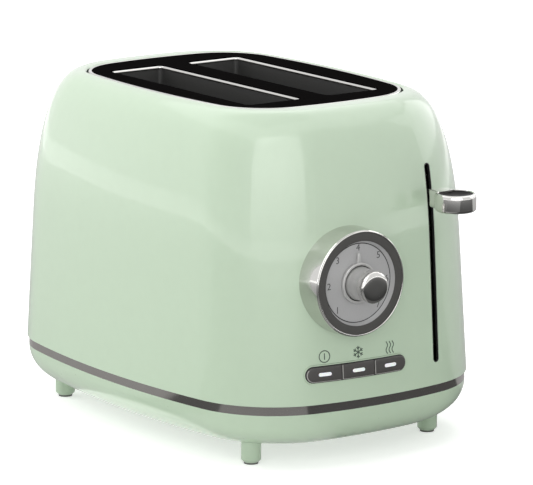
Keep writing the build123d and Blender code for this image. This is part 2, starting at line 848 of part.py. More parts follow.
def make_rod_and_latch():
    """Guide rod, its top bracket, the spring and the holding magnet on the deck."""
    front = carriage_front()
    reach = front - slider_depth
    bracket = box(lever_x, spring_x + spring_radius + 2 * spring_wire, -plate_outer, reach,
                  bracket_height, bracket_height + carriage_sheet)
    bracket += box(lever_x, spring_x - spring_radius, -plate_outer, -plate_outer - carriage_sheet,
                   bracket_height, bracket_height + bracket_tab)
    bracket -= rod_z(rod_x, rod_y_place(), bracket_height - 1, bracket_height + carriage_sheet + 1,
                     rod_radius + rod_clearance)
    bracket &= cover_solid(-cover_wall - fit_gap)
    nodes = {"guide_rod": rod_z(rod_x, rod_y_place(), deck_height, rod_top, rod_radius),
             "rod_bracket": bracket}
    magnet_top = shelf_height() - latch_thickness - lever_travel - latch_gap
    magnet_y = front - latch_depth / 2
    half_depth = latch_depth / 2 - magnet_leg / 2
    near = magnet_y - half_depth
    far = magnet_y + half_depth
    left = latch_x - latch_width / 2
    right = latch_x + latch_width / 2
    yoke = box(left, right, near, far, deck_top, deck_top + magnet_leg)
    for x in (left, right - magnet_leg):
        yoke += box(x, x + magnet_leg, near, far, deck_top, magnet_top)
    yoke += rod_z(latch_x, magnet_y, deck_top, magnet_top, magnet_leg / 2)
    coil_low = deck_top + magnet_leg
    coil_high = magnet_top - coil_flange
    coil_core = magnet_leg / 2
    winding = coil_radius - coil_flange / 2
    coil = turned_z([(coil_core, coil_low), (coil_radius, coil_low),
                     (coil_radius, coil_low + coil_flange), (winding, coil_low + coil_flange),
                     (winding, coil_high - coil_flange), (coil_radius, coil_high - coil_flange),
                     (coil_radius, coil_high), (coil_core, coil_high)])
    nodes["magnet_core"] = yoke
    nodes["magnet_coil"] = Pos(latch_x, magnet_y, 0) * coil
    return nodes


# Dial

def dial_front():
    """Y of the bezel's front rim."""
    return front_wall(dial_x, dial_height) - dial_reach


def dial_face_front():
    """Y of the numbered face."""
    return dial_front() + face_recess


def make_dial():
    """Chrome cup that sits on the curved cover, dark ring, face and knob."""
    rim = dial_front()
    face = dial_face_front()
    seat = face + face_thickness
    inside = spigot_radius - spigot_wall
    ring_back = rim + ring_recess + ring_thickness
    ring_radius = bezel_rim_radius - bezel_rim_width
    skirt_back = front_wall(dial_x - bezel_base_radius, dial_height) + bezel_wall
    skirt = turned_y([(bezel_base_radius - bezel_wall, skirt_back), (bezel_base_radius, skirt_back),
                      (bezel_base_radius, rim + dial_reach),
                      (bezel_rim_radius + bezel_round / 2, rim + bezel_round), (bezel_rim_radius, rim),
                      (ring_radius, rim), (ring_radius, seat), (bezel_base_radius - bezel_wall, seat)])
    place = Pos(dial_x, 0, dial_height)
    bezel = place * skirt - cover_solid()
    spigot_back = rim + dial_reach + spigot_depth / 2
    hub = shaft_radius + 2 * shaft_room
    web = seat + bezel_wall
    cup = turned_y([(hub, seat), (ring_inner_radius, seat), (ring_inner_radius, ring_back),
                    (ring_radius, ring_back), (bezel_rim_radius, web), (spigot_radius, web),
                    (spigot_radius, spigot_back), (inside, spigot_back), (inside, web), (hub, web)])
    bezel += place * cup
    ring = turned_y([(ring_inner_radius, rim + ring_recess), (ring_radius, rim + ring_recess),
                     (ring_radius, ring_back), (ring_inner_radius, ring_back)])
    groove = ring_inner_radius - face_bevel
    groove_inner = groove - face_groove
    hole = shaft_radius + shaft_room
    bevel_top = rim + ring_recess + face_step
    plate = turned_y([(hole, face), (groove_inner, face), (groove_inner, face + face_groove),
                      (groove, face + face_groove), (groove, face), (ring_inner_radius, bevel_top),
                      (ring_inner_radius, seat), (hole, seat)])
    nodes = {"dial_bezel": bezel, "dial_ring": place * ring, "dial_face": place * plate}
    skirt_front = face - knob_gap - skirt_thickness
    bore = shaft_radius + shaft_play
    step = skirt_front + stem_groove
    moat = stem_radius + stem_groove
    collar = turned_y([(bore, face - knob_gap), (skirt_radius, face - knob_gap), (skirt_radius, step),
                       (skirt_radius - stem_groove, skirt_front), (moat, skirt_front),
                       (moat, step), (bore, step)])
    fin_root = skirt_radius - stem_groove
    fin = Polyline((-pointer_base / 2, 0, fin_root), (pointer_base / 2, 0, fin_root),
                   (pointer_tip / 2, 0, skirt_radius + pointer_length),
                   (-pointer_tip / 2, 0, skirt_radius + pointer_length), close=True)
    fin_solid = extrude(make_face(fin), amount=skirt_thickness - stem_groove, dir=(0, -1, 0))
    nodes["knob_skirt"] = place * (collar + Pos(0, face - knob_gap, 0) * fin_solid)
    stem_front = skirt_front - stem_length
    shaft_front = stem_front + stem_groove
    stem = turned_y([(bore, step), (stem_radius, step), (stem_radius, skirt_front - stem_groove),
                     (stem_front_radius, stem_front), (0, stem_front), (0, shaft_front),
                     (bore, shaft_front)])
    nodes["knob_stem"] = place * stem
    cap_front = stem_front - cap_length
    edge = cap_radius - cap_round
    crown_back = cap_front + cap_crown
    crown_radius = (edge**2 + cap_crown**2) / (2 * cap_crown)
    crown_middle = cap_front + crown_radius - math.sqrt(crown_radius**2 - (edge / 2) ** 2)
    corner = cap_round * (1 - math.sqrt(0.5))
    cap_sides = Polyline((0, cap_front), (0, stem_front), (cap_radius - stem_groove, stem_front),
                         (cap_radius, stem_front - stem_groove), (cap_radius, crown_back + cap_round))
    cap_outline = [*cap_sides.edges(),
                   ThreePointArc((cap_radius, crown_back + cap_round),
                                 (cap_radius - corner, crown_back + corner), (edge, crown_back)),
                   ThreePointArc((edge, crown_back), (edge / 2, crown_middle), (0, cap_front))]
    nodes["knob_cap"] = place * revolve(make_face(cap_outline), Axis.Y, full_turn)
    board_front = board_y - board_thickness
    shaft_back = board_front - pot_back
    nodes["pot_shaft"] = rod_y(dial_x, dial_height, shaft_front + shaft_play, shaft_back - shaft_play,
                               shaft_radius)
    pot_front = board_front - pot_length
    bush_front = pot_front - pot_bush_length
    pot_bore = shaft_radius + shaft_clearance
    pot = turned_y([(pot_bore, shaft_back), (pot_bore, bush_front), (pot_bush_radius, bush_front),
                    (pot_bush_radius, pot_front), (pot_radius, pot_front), (pot_radius, board_front),
                    (0, board_front), (0, shaft_back)])
    nodes["browning_pot"] = place * pot
    return nodes


# Buttons and board

def button_centre(index):
    """Place of a button along the row."""
    return button_x + (index - 1) * button_pitch


def make_buttons():
    """Framed row of three buttons that follows the curved cover, each with a light window."""
    outside = -body_length
    back = front_wall(0, belt_top) + button_depth * 2
    wall = button_gap + button_frame_wall
    outer = pill_prism(button_x, button_height, button_row_length + 2 * wall, button_size + 2 * wall,
                       outside, back)
    inner = pill_prism(button_x, button_height, button_row_length + 2 * button_gap,
                       button_size + 2 * button_gap, outside, back + 1)
    nodes = {"button_frame": (outer - inner) & cover_solid(button_frame_proud)}
    row = pill_prism(button_x, button_height, button_row_length, button_size, outside, back)
    row = row & cover_solid(button_proud)
    light_limit = cover_solid(button_proud + light_proud)
    switch_front = board_y - board_thickness - switch_depth
    ends = [outside, button_x - button_pitch / 2, button_x + button_pitch / 2, -outside]
    for index, name in enumerate(("cancel", "defrost", "reheat")):
        x = button_centre(index)
        part = row & box(ends[index] + button_gap / 2, ends[index + 1] - button_gap / 2,
                         outside, back + 1, 0, cover_top)
        part += rod_y(x, button_height, back, switch_front - button_travel - fit_gap, plunger_radius)
        pocket_back = front_wall(x, button_height) - button_proud + light_depth
        part -= pill_prism(x, button_height, light_length + 2 * light_play, light_width + 2 * light_play,
                           outside, pocket_back)
        window = pill_prism(x, button_height, light_length, light_width, outside, pocket_back)
        nodes[f"{name}_button"] = part
        nodes[f"{name}_light"] = window & light_limit
    return nodes


def make_board():
    """Control board on its holder, with the three switches."""
    front = board_y - board_thickness
    nodes = {"control_board": box(board_left, board_right, board_y, front, board_bottom, board_top)}
    holder = box(board_left, board_right, board_y, board_y + holder_thickness, deck_top, board_top)
    holder -= box(board_left + holder_rim, board_right - holder_rim, board_y - 1,
                  board_y + holder_thickness + 1, board_bottom, board_top - holder_rim)
    holder += box(board_left, board_right, board_y, board_y - holder_foot + board_thickness,
                  deck_top, deck_top + holder_thickness)
    nodes["board_holder"] = holder
    half = switch_size / 2
    switches = []
    for index in range(3):
        x = button_centre(index)
        switches.append(box(x - half, x + half, front, front - switch_depth,
                            button_height - half, button_height + half))
    nodes["switches"] = Compound(children=switches)
    return nodes


# Crumb tray

def make_tray():
    """Sheet tray on runners, with a front that continues the bowl's curve."""
    floor = tray_floor_height()
    top = floor + tray_height
    tray = box(-tray_half_width, tray_half_width, tray_front_end, tray_rear_end, floor, top)
    tray -= box(-tray_half_width + tray_wall, tray_half_width - tray_wall, tray_front_end + tray_wall,
                tray_rear_end - tray_wall, floor + tray_wall, top + 1)
    bowl = bowl_solid()
    hollow = bowl_solid(-base_wall, base_top + belt_height)
    skin = (bowl - hollow) & tray_window(0.0)
    face = skin
    for x in (-tray_web_x, 0, tray_web_x):
        face += box(x - tray_web / 2, x + tray_web / 2, tray_rear_end, body_length, floor, top) & bowl
    pull_back = belt_half_length - base_reach
    pull_front = front_of_bowl(floor + pull_thickness) + pull_reach
    pull = box(-pull_half_width, pull_half_width, pull_back, pull_front, floor, floor + pull_thickness)
    pull = fillet(pull.edges().filter_by(Axis.Z).group_by(Axis.Y)[-1], pull_reach - 1)
    face += pull - bowl
    return {"crumb_tray": tray, "tray_front": face}


def front_of_bowl(z):
    """Half length of the bowl's outer surface at a height."""
    down = (base_top - z) / base_depth
    inset = base_reach * (1 - (1 - down**base_power) ** (1 / base_power))
    return belt_half_length - inset


def main():
    """Builds every piece and writes one file each."""
    os.makedirs("parts", exist_ok=True)
    nodes = {}
    for maker in (make_body_shell, make_belt_band, make_base_pan, make_feet, make_base_screws,
                  make_cord_gland, make_top, make_chassis, make_heaters, make_guards, make_lever,
                  make_carriage, make_spring, make_rod_and_latch, make_dial, make_buttons, make_board,
                  make_tray):
        nodes.update(maker())
    for name, shape in nodes.items():
        export_step(shape, f"parts/{name}.step")
    print(len(nodes), "pieces")


if __name__ == "__main__":
    main()
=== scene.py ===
"""Looks of a two-slot pop-up toaster in mint enamel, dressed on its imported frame."""
import logging
import math
from dataclasses import dataclass
from enum import Enum
from typing import Any, Sequence

import bmesh
import bpy
import numpy as np
from mathutils import Matrix, Vector


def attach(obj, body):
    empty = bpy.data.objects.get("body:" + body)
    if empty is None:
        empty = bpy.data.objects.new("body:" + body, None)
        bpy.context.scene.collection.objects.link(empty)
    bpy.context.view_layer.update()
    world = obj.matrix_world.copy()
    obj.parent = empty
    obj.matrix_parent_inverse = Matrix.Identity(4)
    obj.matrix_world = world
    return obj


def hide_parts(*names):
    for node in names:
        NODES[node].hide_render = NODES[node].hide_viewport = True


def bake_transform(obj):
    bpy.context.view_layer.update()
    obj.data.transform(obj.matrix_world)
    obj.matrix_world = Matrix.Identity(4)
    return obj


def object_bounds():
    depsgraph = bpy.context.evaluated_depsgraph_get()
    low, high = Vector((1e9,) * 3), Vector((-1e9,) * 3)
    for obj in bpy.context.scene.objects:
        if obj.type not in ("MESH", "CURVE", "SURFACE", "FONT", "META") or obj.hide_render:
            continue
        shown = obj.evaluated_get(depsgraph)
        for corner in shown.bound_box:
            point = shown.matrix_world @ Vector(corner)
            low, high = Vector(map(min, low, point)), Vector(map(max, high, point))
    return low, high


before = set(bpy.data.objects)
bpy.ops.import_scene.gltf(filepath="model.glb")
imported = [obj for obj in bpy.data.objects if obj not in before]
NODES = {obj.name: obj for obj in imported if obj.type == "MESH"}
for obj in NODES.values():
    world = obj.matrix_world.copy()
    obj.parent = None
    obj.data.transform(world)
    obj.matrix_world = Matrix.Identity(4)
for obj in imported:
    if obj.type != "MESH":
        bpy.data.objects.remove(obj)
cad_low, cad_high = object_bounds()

log = logging.getLogger("toaster")
# Corners of a mesh, and the corner numbers of each of its faces
Shape = tuple[np.ndarray, list[list[int]]]
# One length, or one for each point
Length = float | np.ndarray
MM = 0.001
PHOTO_WIDTH = 533
# Corners nearer than this, in metres, are merged, and edges shorter than the second value are removed
MERGE = 1e-7
SLIVER = 1e-8
# Most of a noise pattern lies between these two values
NOISE_LOW = 0.25
NOISE_HIGH = 0.75
# Scale at which a wave pattern repeats about once in each cell, and how much and how finely rings waver
WAVE_SCALE = 0.3
RING_WAVER = 1.5
RING_DETAIL = 2.0
# Sockets of a mix node: its two colours and their mixture, then its two numbers and theirs
COLOUR_A = 6
COLOUR_B = 7
COLOUR_MIXED = 2
NUMBER_A = 2
NUMBER_B = 3
NUMBER_MIXED = 0
# Thickness of print, in millimetres
INK_FILM = 0.05
# Height of a studio card over the floor, in metres
CARD_LIFT = 0.001
UPWARD = (0.0, 0.0, 1.0)
RIGHTWARD = (1.0, 0.0, 0.0)
FORWARD = (0.0, -1.0, 0.0)
DIAL_CENTRE = (-19.5, -135.0, 100.4)
DIAL_FACE = -132.176


# Colour and node helpers

def linear(code: str) -> tuple[float, float, float, float]:
    """Turns an sRGB hex colour into linear light.

    Args:
        code: Six hex digits.

    Returns:
        Red, green, blue and alpha.
    """
    parts = np.array([int(code[i:i + 2], 16) / 255 for i in (0, 2, 4)])
    light = np.where(parts <= 0.04045, parts / 12.92, ((parts + 0.055) / 1.055) ** 2.4)
    return (*map(float, light), 1.0)


def add_node(tree: bpy.types.NodeTree, kind: str, inputs: dict[Any, Any] | None = None,
             **settings: Any) -> bpy.types.Node:
    """Adds one node with its settings, values and links.

    Args:
        tree: Node tree that takes the node.
        kind: Type name of the node.
        inputs: Value or output socket for each input, by name or number.
        **settings: Properties of the node itself.

    Returns:
        The new node.
    """
    node = tree.nodes.new(kind)
    for key, value in settings.items():
        setattr(node, key, value)
    for key, value in (inputs or {}).items():
        if isinstance(value, bpy.types.NodeSocket):
            tree.links.new(value, node.inputs[key])
        else:
            node.inputs[key].default_value = value
    return node


def empty_material(name: str) -> tuple[bpy.types.Material, bpy.types.NodeTree]:
    """Makes a material that has no nodes yet.

    Args:
        name: Name of the material.

    Returns:
        The material and its node tree.
    """
    material = bpy.data.materials.new(name)
    material.use_nodes = True
    material.node_tree.nodes.clear()
    return material, material.node_tree


def by_distance(tree: bpy.types.NodeTree, near: float, far: float, near_value: float,
                far_value: float) -> bpy.types.NodeSocket:
    """Adds a value that changes evenly with the distance from the origin.

    Args:
        tree: Node tree that takes the nodes.
        near: Distance in metres up to which the first value holds.
        far: Distance in metres from which the second value holds.
        near_value: First value.
        far_value: Second value.

    Returns:
        Socket with the value.
    """
    place = add_node(tree, "ShaderNodeTexCoord")
    away = add_node(tree, "ShaderNodeVectorMath", {0: place.outputs["Object"]}, operation="LENGTH")
    ranged = add_node(tree, "ShaderNodeMapRange",
                      {"Value": away.outputs["Value"], "From Min": near, "From Max": far,
                       "To Min": near_value, "To Max": far_value})
    return ranged.outputs["Result"]


# Finishes

class Grain(Enum):
    """How the fine structure of a surface lies."""

    EVEN = "even"
    TURNED = "turned"
    WOUND = "wound"


@dataclass(frozen=True)
class Finish:
    """One real material: its colour, gloss and fine structure.

    The pattern is noise, or a wave for turned and wound surfaces, whose cells are grain_mm wide times
    stretch, which draws them out into lines. It shifts the colour between colour and colour_two, the
    roughness by rough_shift either way, and lifts the surface by bump_mm. Grains under 1 mm are drawn
    coarser than the real ones, so that they show in the render.
    """

    name: str
    colour: str
    colour_two: str
    roughness: float
    metallic: float = 0.0
    rough_shift: float = 0.03
    coat: float = 0.0
    coat_roughness: float = 0.03
    specular: float = 0.5
    grain: Grain = Grain.EVEN
    grain_mm: float = 1.0
    stretch: tuple[float, float, float] = (1.0, 1.0, 1.0)
    centre_mm: tuple[float, float, float] = (0.0, 0.0, 0.0)
    detail: float = 3.0
    bump_mm: float = 0.0
    emission: float = 0.0
    subsurface: float = 0.0

    def pattern(self, tree: bpy.types.NodeTree) -> bpy.types.NodeSocket:
        """Adds the noise or wave that the finish is made of.

        Args:
            tree: The material's node tree.

        Returns:
            Socket with the pattern's value, from 0 to 1.
        """
        place = add_node(tree, "ShaderNodeTexCoord").outputs["Object"]
        cells = 1 / (self.grain_mm * MM)
        scale = tuple(cells / part for part in self.stretch)
        shift = tuple(-c * MM * s for c, s in zip(self.centre_mm, scale))
        mapped = add_node(tree, "ShaderNodeMapping", {"Vector": place, "Scale": scale, "Location": shift})
        vector = mapped.outputs["Vector"]
        if self.grain in (Grain.TURNED, Grain.WOUND):
            rings = self.grain is Grain.TURNED
            wave = add_node(tree, "ShaderNodeTexWave",
                            {"Vector": vector, "Scale": WAVE_SCALE, "Detail": RING_DETAIL,
                             "Distortion": RING_WAVER if rings else 0.0},
                            wave_type="RINGS" if rings else "BANDS",
                            rings_direction="Y", bands_direction="Z")
            return wave.outputs["Fac"]
        noise = add_node(tree, "ShaderNodeTexNoise",
                         {"Vector": vector, "Scale": 1.0, "Detail": self.detail})
        return noise.outputs["Fac"]

    def build(self) -> bpy.types.Material:
        """Builds the material once and hands it out again later.

        Returns:
            The material.
        """
        known = bpy.data.materials.get(self.name)
        if known is not None:
            return known
        material, tree = empty_material(self.name)
        value = self.pattern(tree)
        colour = add_node(tree, "ShaderNodeMix",
                          {"Factor": value, COLOUR_A: linear(self.colour),
                           COLOUR_B: linear(self.colour_two)},
                          data_type="RGBA")
        rough = add_node(tree, "ShaderNodeMapRange",
                         {"Value": value, "From Min": NOISE_LOW, "From Max": NOISE_HIGH,
                          "To Min": max(self.roughness - self.rough_shift, 0.0),
                          "To Max": self.roughness + self.rough_shift})
        shader = add_node(tree, "ShaderNodeBsdfPrincipled",
                          {"Base Color": colour.outputs[COLOUR_MIXED], "Roughness": rough.outputs["Result"],
                           "Metallic": self.metallic, "Specular IOR Level": self.specular,
                           "Coat Weight": self.coat, "Coat Roughness": self.coat_roughness,
                           "Subsurface Weight": self.subsurface, "Subsurface Scale": MM,
                           "Emission Color": linear(self.colour), "Emission Strength": self.emission})
        if self.bump_mm > 0:
            bump = add_node(tree, "ShaderNodeBump",
                            {"Height": value, "Distance": self.bump_mm * MM, "Strength": 1.0})
            tree.links.new(bump.outputs["Normal"], shader.inputs["Normal"])
        add_node(tree, "ShaderNodeOutputMaterial", {"Surface": shader.outputs["BSDF"]})
        return material


# Stoved enamel under a clear coat: a deep gloss with a faint orange-peel wave
ENAMEL = Finish("enamel_mint_stoved", "BFD3BA", "BCD0B7", 0.32, coat=1.0, coat_roughness=0.04,
                grain_mm=6.0, bump_mm=0.004)
# Moulded gloss ABS in the cover's colour: a slightly softer gloss than the enamel's
MINT_ABS = Finish("abs_mint_gloss_moulded", "BED2B9", "BBCFB6", 0.3, coat=0.8, coat_roughness=0.06,
                  grain_mm=5.0, bump_mm=0.004)
# Polished nickel belt: a slightly warm, slightly smoked mirror
NICKEL = Finish("nickel_polished", "BBB8B4", "B4B1AD", 0.1, metallic=1.0, grain_mm=12.0)
# Chromed steel, polished: a bright mirror with the faintest smears
CHROME = Finish("chrome_polished", "D6D5D2", "D0CFCC", 0.055, metallic=1.0, rough_shift=0.02, grain_mm=9.0)
# Matt black heat-proof top panel: a deep black that mirrors next to nothing
BLACK_PANEL = Finish("pps_black_matt_moulded", "060505", "090808", 0.6, specular=0.0005, grain_mm=0.7,
                     bump_mm=0.003)
# Black ABS of the lever's dish: smooth, with only a weak sheen
BLACK_ABS = Finish("abs_black_gloss_moulded", "0B0A0A", "0E0D0D", 0.12, specular=0.02, grain_mm=4.0)
# Dark grey ABS ring with a spark-eroded surface: silky and even
DARK_RING = Finish("abs_dark_grey_textured", "4C4B49", "484745", 0.5, specular=0.3, grain_mm=0.6,
                   bump_mm=0.003)
# Bead-blasted aluminium dial face: soft and grey, with a fine sparkle
SATIN_ALUMINIUM = Finish("aluminium_satin_blasted", "BABABA", "B3B3B3", 0.5, metallic=0.35, grain_mm=0.5,
                         bump_mm=0.002)
# Satin aluminium of the knob's skirt and pointer: a shade lighter than the face
PALE_ALUMINIUM = Finish("aluminium_satin_turned", "C4C4C2", "BDBDBB", 0.4, metallic=0.4, grain_mm=0.5)
# Turned aluminium stem: fine lathe rings
TURNED_ALUMINIUM = Finish("aluminium_turned", "C2C2C0", "BDBDBB", 0.34, metallic=0.6, grain=Grain.TURNED,
                          grain_mm=0.5, centre_mm=DIAL_CENTRE)
# Satin ABS of the buttons: a warm dark grey with a fine grain
BUTTON_ABS = Finish("abs_graphite_satin_moulded", "4A4846", "464442", 0.34, grain_mm=0.8, bump_mm=0.002)
# The same ABS, paler and smoother, as a thin film on the buttons' left and lower edges: a painted highlight
EDGE_HIGHLIGHT_ABS = Finish("abs_graphite_painted_edge_highlight", "A9A8A4", "979692", 0.3, grain_mm=0.5)
# Opal acrylic light windows: white through and through, with a weak glow
OPAL = Finish("acrylic_opal_moulded", "FCFCFC", "F6F6F6", 0.3, emission=0.12, grain_mm=2.0, subsurface=0.3)
# Aluminised sheet steel inside the chamber: dull and grey, with long rolling lines
SHEET_STEEL = Finish("steel_aluminised_rolled", "8A8A87", "7C7C7A", 0.42, metallic=0.9, grain_mm=0.8,
                     stretch=(1.0, 30.0, 1.0), bump_mm=0.004)
# Drawn sheet of the slot liners, with lines along the slot: its dark grey is painted shade of the slots'
# insides
LINER_STEEL = Finish("steel_liner_drawn", "585857", "525251", 0.4, metallic=0.5, grain_mm=0.8,
                     stretch=(1.0, 20.0, 1.0))
# Drawn wire and rod: bright, with lines along the drawing
WIRE_STEEL = Finish("steel_wire_drawn", "A6A6A4", "989896", 0.3, metallic=1.0, grain_mm=0.6,
                    stretch=(1.0, 1.0, 20.0))
# Zinc-plated screws: a cool, slightly cloudy shine
ZINC = Finish("steel_zinc_plated", "A9ABAE", "9C9EA2", 0.3, metallic=1.0, grain_mm=1.5)
# Mica heater cards: cloudy silver-brown sheets
MICA = Finish("mica_sheet_pressed", "9C9079", "857A66", 0.5, grain_mm=7.0, detail=6.0, bump_mm=0.02)
# Oxidised heating alloy: a dull brown-grey ribbon
HEATER_ALLOY = Finish("nickel_chrome_ribbon_oxidised", "6B645C", "55504A", 0.5, metallic=0.8,
                      grain_mm=2.0)
# Bare soft iron core: dark grey and dull
CORE_IRON = Finish("iron_core_bare", "6A6A6C", "5C5C5E", 0.45, metallic=1.0, grain_mm=1.2)
# Enamelled copper winding: one brown-red band for each turn
COPPER = Finish("copper_enamelled_wound", "9A5A30", "7C4522", 0.3, metallic=1.0, grain=Grain.WOUND,
                grain_mm=0.5, bump_mm=0.05)
# Pressed phenolic board: a mottled brown
PHENOLIC = Finish("phenolic_board_pressed", "8A6A3C", "7C5E34", 0.55, grain_mm=3.0)
# Black heat-proof moulding: matt, with a fine grain; its black also paints the shade round the buttons, in
# the lever's slot and in the dial's groove
BLACK_MOULDING_AND_SHADE = Finish("pbt_black_moulded_and_painted_shade", "1C1C1C", "222222", 0.5, grain_mm=0.8, bump_mm=0.01)
# Moulded rubber of pads and bush: a matt mid grey
RUBBER = Finish("rubber_grey_moulded", "6A6C68", "62645F", 0.75, grain_mm=0.8, bump_mm=0.01)
# Screen-printed ink of signs and numbers: thin, matt lines
GREEN_INK = Finish("ink_green_screen_printed", "4C5C4F", "47574A", 0.5, grain_mm=1.0)
GREY_INK = Finish("ink_grey_screen_printed", "4A4A4A", "464646", 0.5, grain_mm=1.0)

DRESSED: dict[Finish, tuple[str, ...]] = {
    ENAMEL: ("body_shell",),
    MINT_ABS: ("base_pan", "tray_front", "button_frame",
               "leg_front_left", "leg_front_right", "leg_rear_left", "leg_rear_right"),
    NICKEL: ("belt_band",),
    CHROME: ("top_trim_ring", "dial_bezel", "knob_cap", "lever_knob", "lever_arm"),
    BLACK_PANEL: ("top_panel",),
    BLACK_ABS: ("lever_inlay",),
    DARK_RING: ("dial_ring",),
    SATIN_ALUMINIUM: ("dial_face",),
    PALE_ALUMINIUM: ("knob_skirt",),
    TURNED_ALUMINIUM: ("knob_stem", "pot_shaft"),
    BUTTON_ABS: ("cancel_button", "defrost_button", "reheat_button"),
    OPAL: ("cancel_light", "defrost_light", "reheat_light"),
    SHEET_STEEL: ("chassis_floor", "front_plate", "rear_plate", "heat_shield_left", "heat_shield_right",
                  "rod_bracket", "carriage", "bread_rack_left", "bread_rack_right", "crumb_tray",
                  "latch_plate"),
    LINER_STEEL: ("slot_liner_left", "slot_liner_right"),
    WIRE_STEEL: ("guard_left_inner", "guard_left_outer", "guard_right_inner", "guard_right_outer",
                 "guide_rod", "return_spring"),
    ZINC: ("base_screws",),
    MICA: ("heater_card_left", "heater_card_center", "heater_card_right"),
    HEATER_ALLOY: ("heater_ribbons",),
    CORE_IRON: ("magnet_core",),
    COPPER: ("magnet_coil",),
    PHENOLIC: ("control_board",),
    BLACK_MOULDING_AND_SHADE: ("board_holder", "switches", "browning_pot"),
    RUBBER: ("foot_pads", "cord_gland"),
}


# Mesh helpers

def piece(name: str, shape: Shape, finish: Finish, body: str | None,
          sharp: float = 35.0) -> bpy.types.Object:
    """Makes one closed mesh of the object, merges its seams and lets it ride on a body.

    Args:
        name: Name of the piece.
        shape: Corners in millimetres and the corner numbers of each face.
        finish: What the piece is made of.
        body: Body that it moves with, or none for a piece that rides on no body.
        sharp: Edges that turn by more degrees than this stay sharp.

    Returns:
        The new object.
    """
    points, faces = shape
    mesh = bpy.data.meshes.new(name)
    mesh.from_pydata((points * MM).tolist(), [], faces)
    edit = bmesh.new()
    edit.from_mesh(mesh)
    bmesh.ops.remove_doubles(edit, verts=edit.verts, dist=MERGE)
    bmesh.ops.dissolve_degenerate(edit, edges=edit.edges, dist=SLIVER)
    bmesh.ops.recalc_face_normals(edit, faces=edit.faces)
    edit.to_mesh(mesh)
    edit.free()
    mesh.shade_smooth()
    mesh.set_sharp_from_angle(angle=math.radians(sharp))
    mesh.materials.append(finish.build())
    made = bpy.data.objects.new(name, mesh)
    bpy.context.scene.collection.objects.link(made)
    if body is not None:
        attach(made, body)
    log.info("piece %s: %d faces on %s", name, len(mesh.polygons), body or "two bodies")
    return made


def grid_faces(rows: int, columns: int, close_rows: bool, close_columns: bool) -> list[list[int]]:
    """Numbers the quads of a grid of points.

    Args:
        rows: Points along the first parameter.
        columns: Points along the second.
        close_rows: Whether the last row joins the first.
        close_columns: Whether the last column joins the first.

    Returns:
        Four corner numbers for each quad.
    """
    r = np.arange(rows if close_rows else rows - 1)
    c = np.arange(columns if close_columns else columns - 1)
    a, b = np.meshgrid(r, c, indexing="ij")
    a_next = (a + 1) % rows
    b_next = (b + 1) % columns
    corners = [a * columns + b, a * columns + b_next, a_next * columns + b_next, a_next * columns + b]
    return np.stack(corners, axis=-1).reshape(-1, 4).tolist()


def capped_faces(rows: int, columns: int) -> list[list[int]]:
    """Numbers the quads between closed rings of points and the two faces that shut the ends.

    Args:
        rows: Number of rings.
        columns: Points in each ring.

    Returns:
        Corner numbers of each face.
    """
    count = rows * columns
    first = list(range(columns))
    last = list(range(count - 1, count - columns - 1, -1))
    return grid_faces(rows, columns, False, True) + [first, last]


def carried(path: np.ndarray, across: np.ndarray, up: np.ndarray, profile: np.ndarray,
            closed: bool) -> Shape:
    """Carries a closed profile along a path: point + across * first value + up * second value.

    Args:
        path: Points of the path.
        across: Unit vectors to the side of each point.
        up: Unit vectors out of the surface at each point.
        profile: Corners of the profile in turn, as (across, up).
        closed: Whether the path joins its own start.

    Returns:
        Corners and faces of a closed bar.
    """
    sideways = across[:, None, :] * profile[None, :, :1]
    upwards = up[:, None, :] * profile[None, :, 1:]
    rings = path[:, None, :] + sideways + upwards
    rows, columns = len(path), len(profile)
    faces = grid_faces(rows, columns, True, True) if closed else capped_faces(rows, columns)
    return rings.reshape(-1, 3), faces


def arc(middle: Sequence[float], radius: float, start: float, end: float, steps: int = 7) -> np.ndarray:
    """Points of an arc about a middle, from one angle to another in degrees."""
    turn = np.radians(np.linspace(start, end, steps))
    return np.asarray(middle, float) + radius * np.stack([np.cos(turn), np.sin(turn)], axis=1)


def circle(middle: Sequence[float], radius: float, steps: int) -> np.ndarray:
    """Points once round a circle: radius times cosine and sine of the turn."""
    turn = np.linspace(0, 2 * np.pi, steps, endpoint=False)
    return np.asarray(middle, float) + radius * np.stack([np.cos(turn), np.sin(turn)], axis=1)


def repeated(way: Sequence[float], points: np.ndarray) -> np.ndarray:
    """The same way for each of the points."""
    return np.broadcast_to(way, points.shape)


class Axis(Enum):
    """Ways that a turned piece's axis lies."""

    LEVEL = "front to back"
    UPRIGHT = "up"


def turned(profile: np.ndarray, middle: Sequence[float], axis: Axis, ring: bool,
           segments: int = 128) -> Shape:
    """Turns a profile once round: radius times cosine and sine across, and the height along the axis.

    Args:
        profile: Points as (radius, place along the axis).
        middle: A point on the axis.
        axis: How the axis lies.
        ring: Whether the profile is a closed ring, and not a line between two points on the axis.
        segments: Steps of one turn.

    Returns:
        Corners and faces of the turned piece.
    """
    turn = np.linspace(0, 2 * np.pi, segments, endpoint=False)
    first = profile[None, :, 0] * np.cos(turn)[:, None]
    second = profile[None, :, 0] * np.sin(turn)[:, None]
    along = np.broadcast_to(profile[None, :, 1], first.shape)
    x = middle[0] + first
    if axis is Axis.LEVEL:
        points = np.stack([x, along, middle[2] + second], axis=-1)
    else:
        points = np.stack([x, middle[1] + second, along], axis=-1)
    return points.reshape(-1, 3), grid_faces(segments, len(profile), True, ring)


def all_round(quarter: np.ndarray) -> np.ndarray:
    """Mirrors the points or normals of one quarter into the other three, in turn."""
    back = quarter[::-1]
    return np.concatenate([quarter, back * (-1, 1), quarter * (-1, -1), back * (1, -1)])


def joined(parts: Sequence[Shape]) -> Shape:
    """Puts several shapes into one.

    Args:
        parts: Corners and faces of each shape.

    Returns:
        All corners and all faces.
    """
    points = np.concatenate([corners for corners, _ in parts])
    starts = np.cumsum([0] + [len(corners) for corners, _ in parts[:-1]]).tolist()
    faces = []
    for (_, part), start in zip(parts, starts):
        faces += [[corner + start for corner in face] for face in part]
    return points, faces


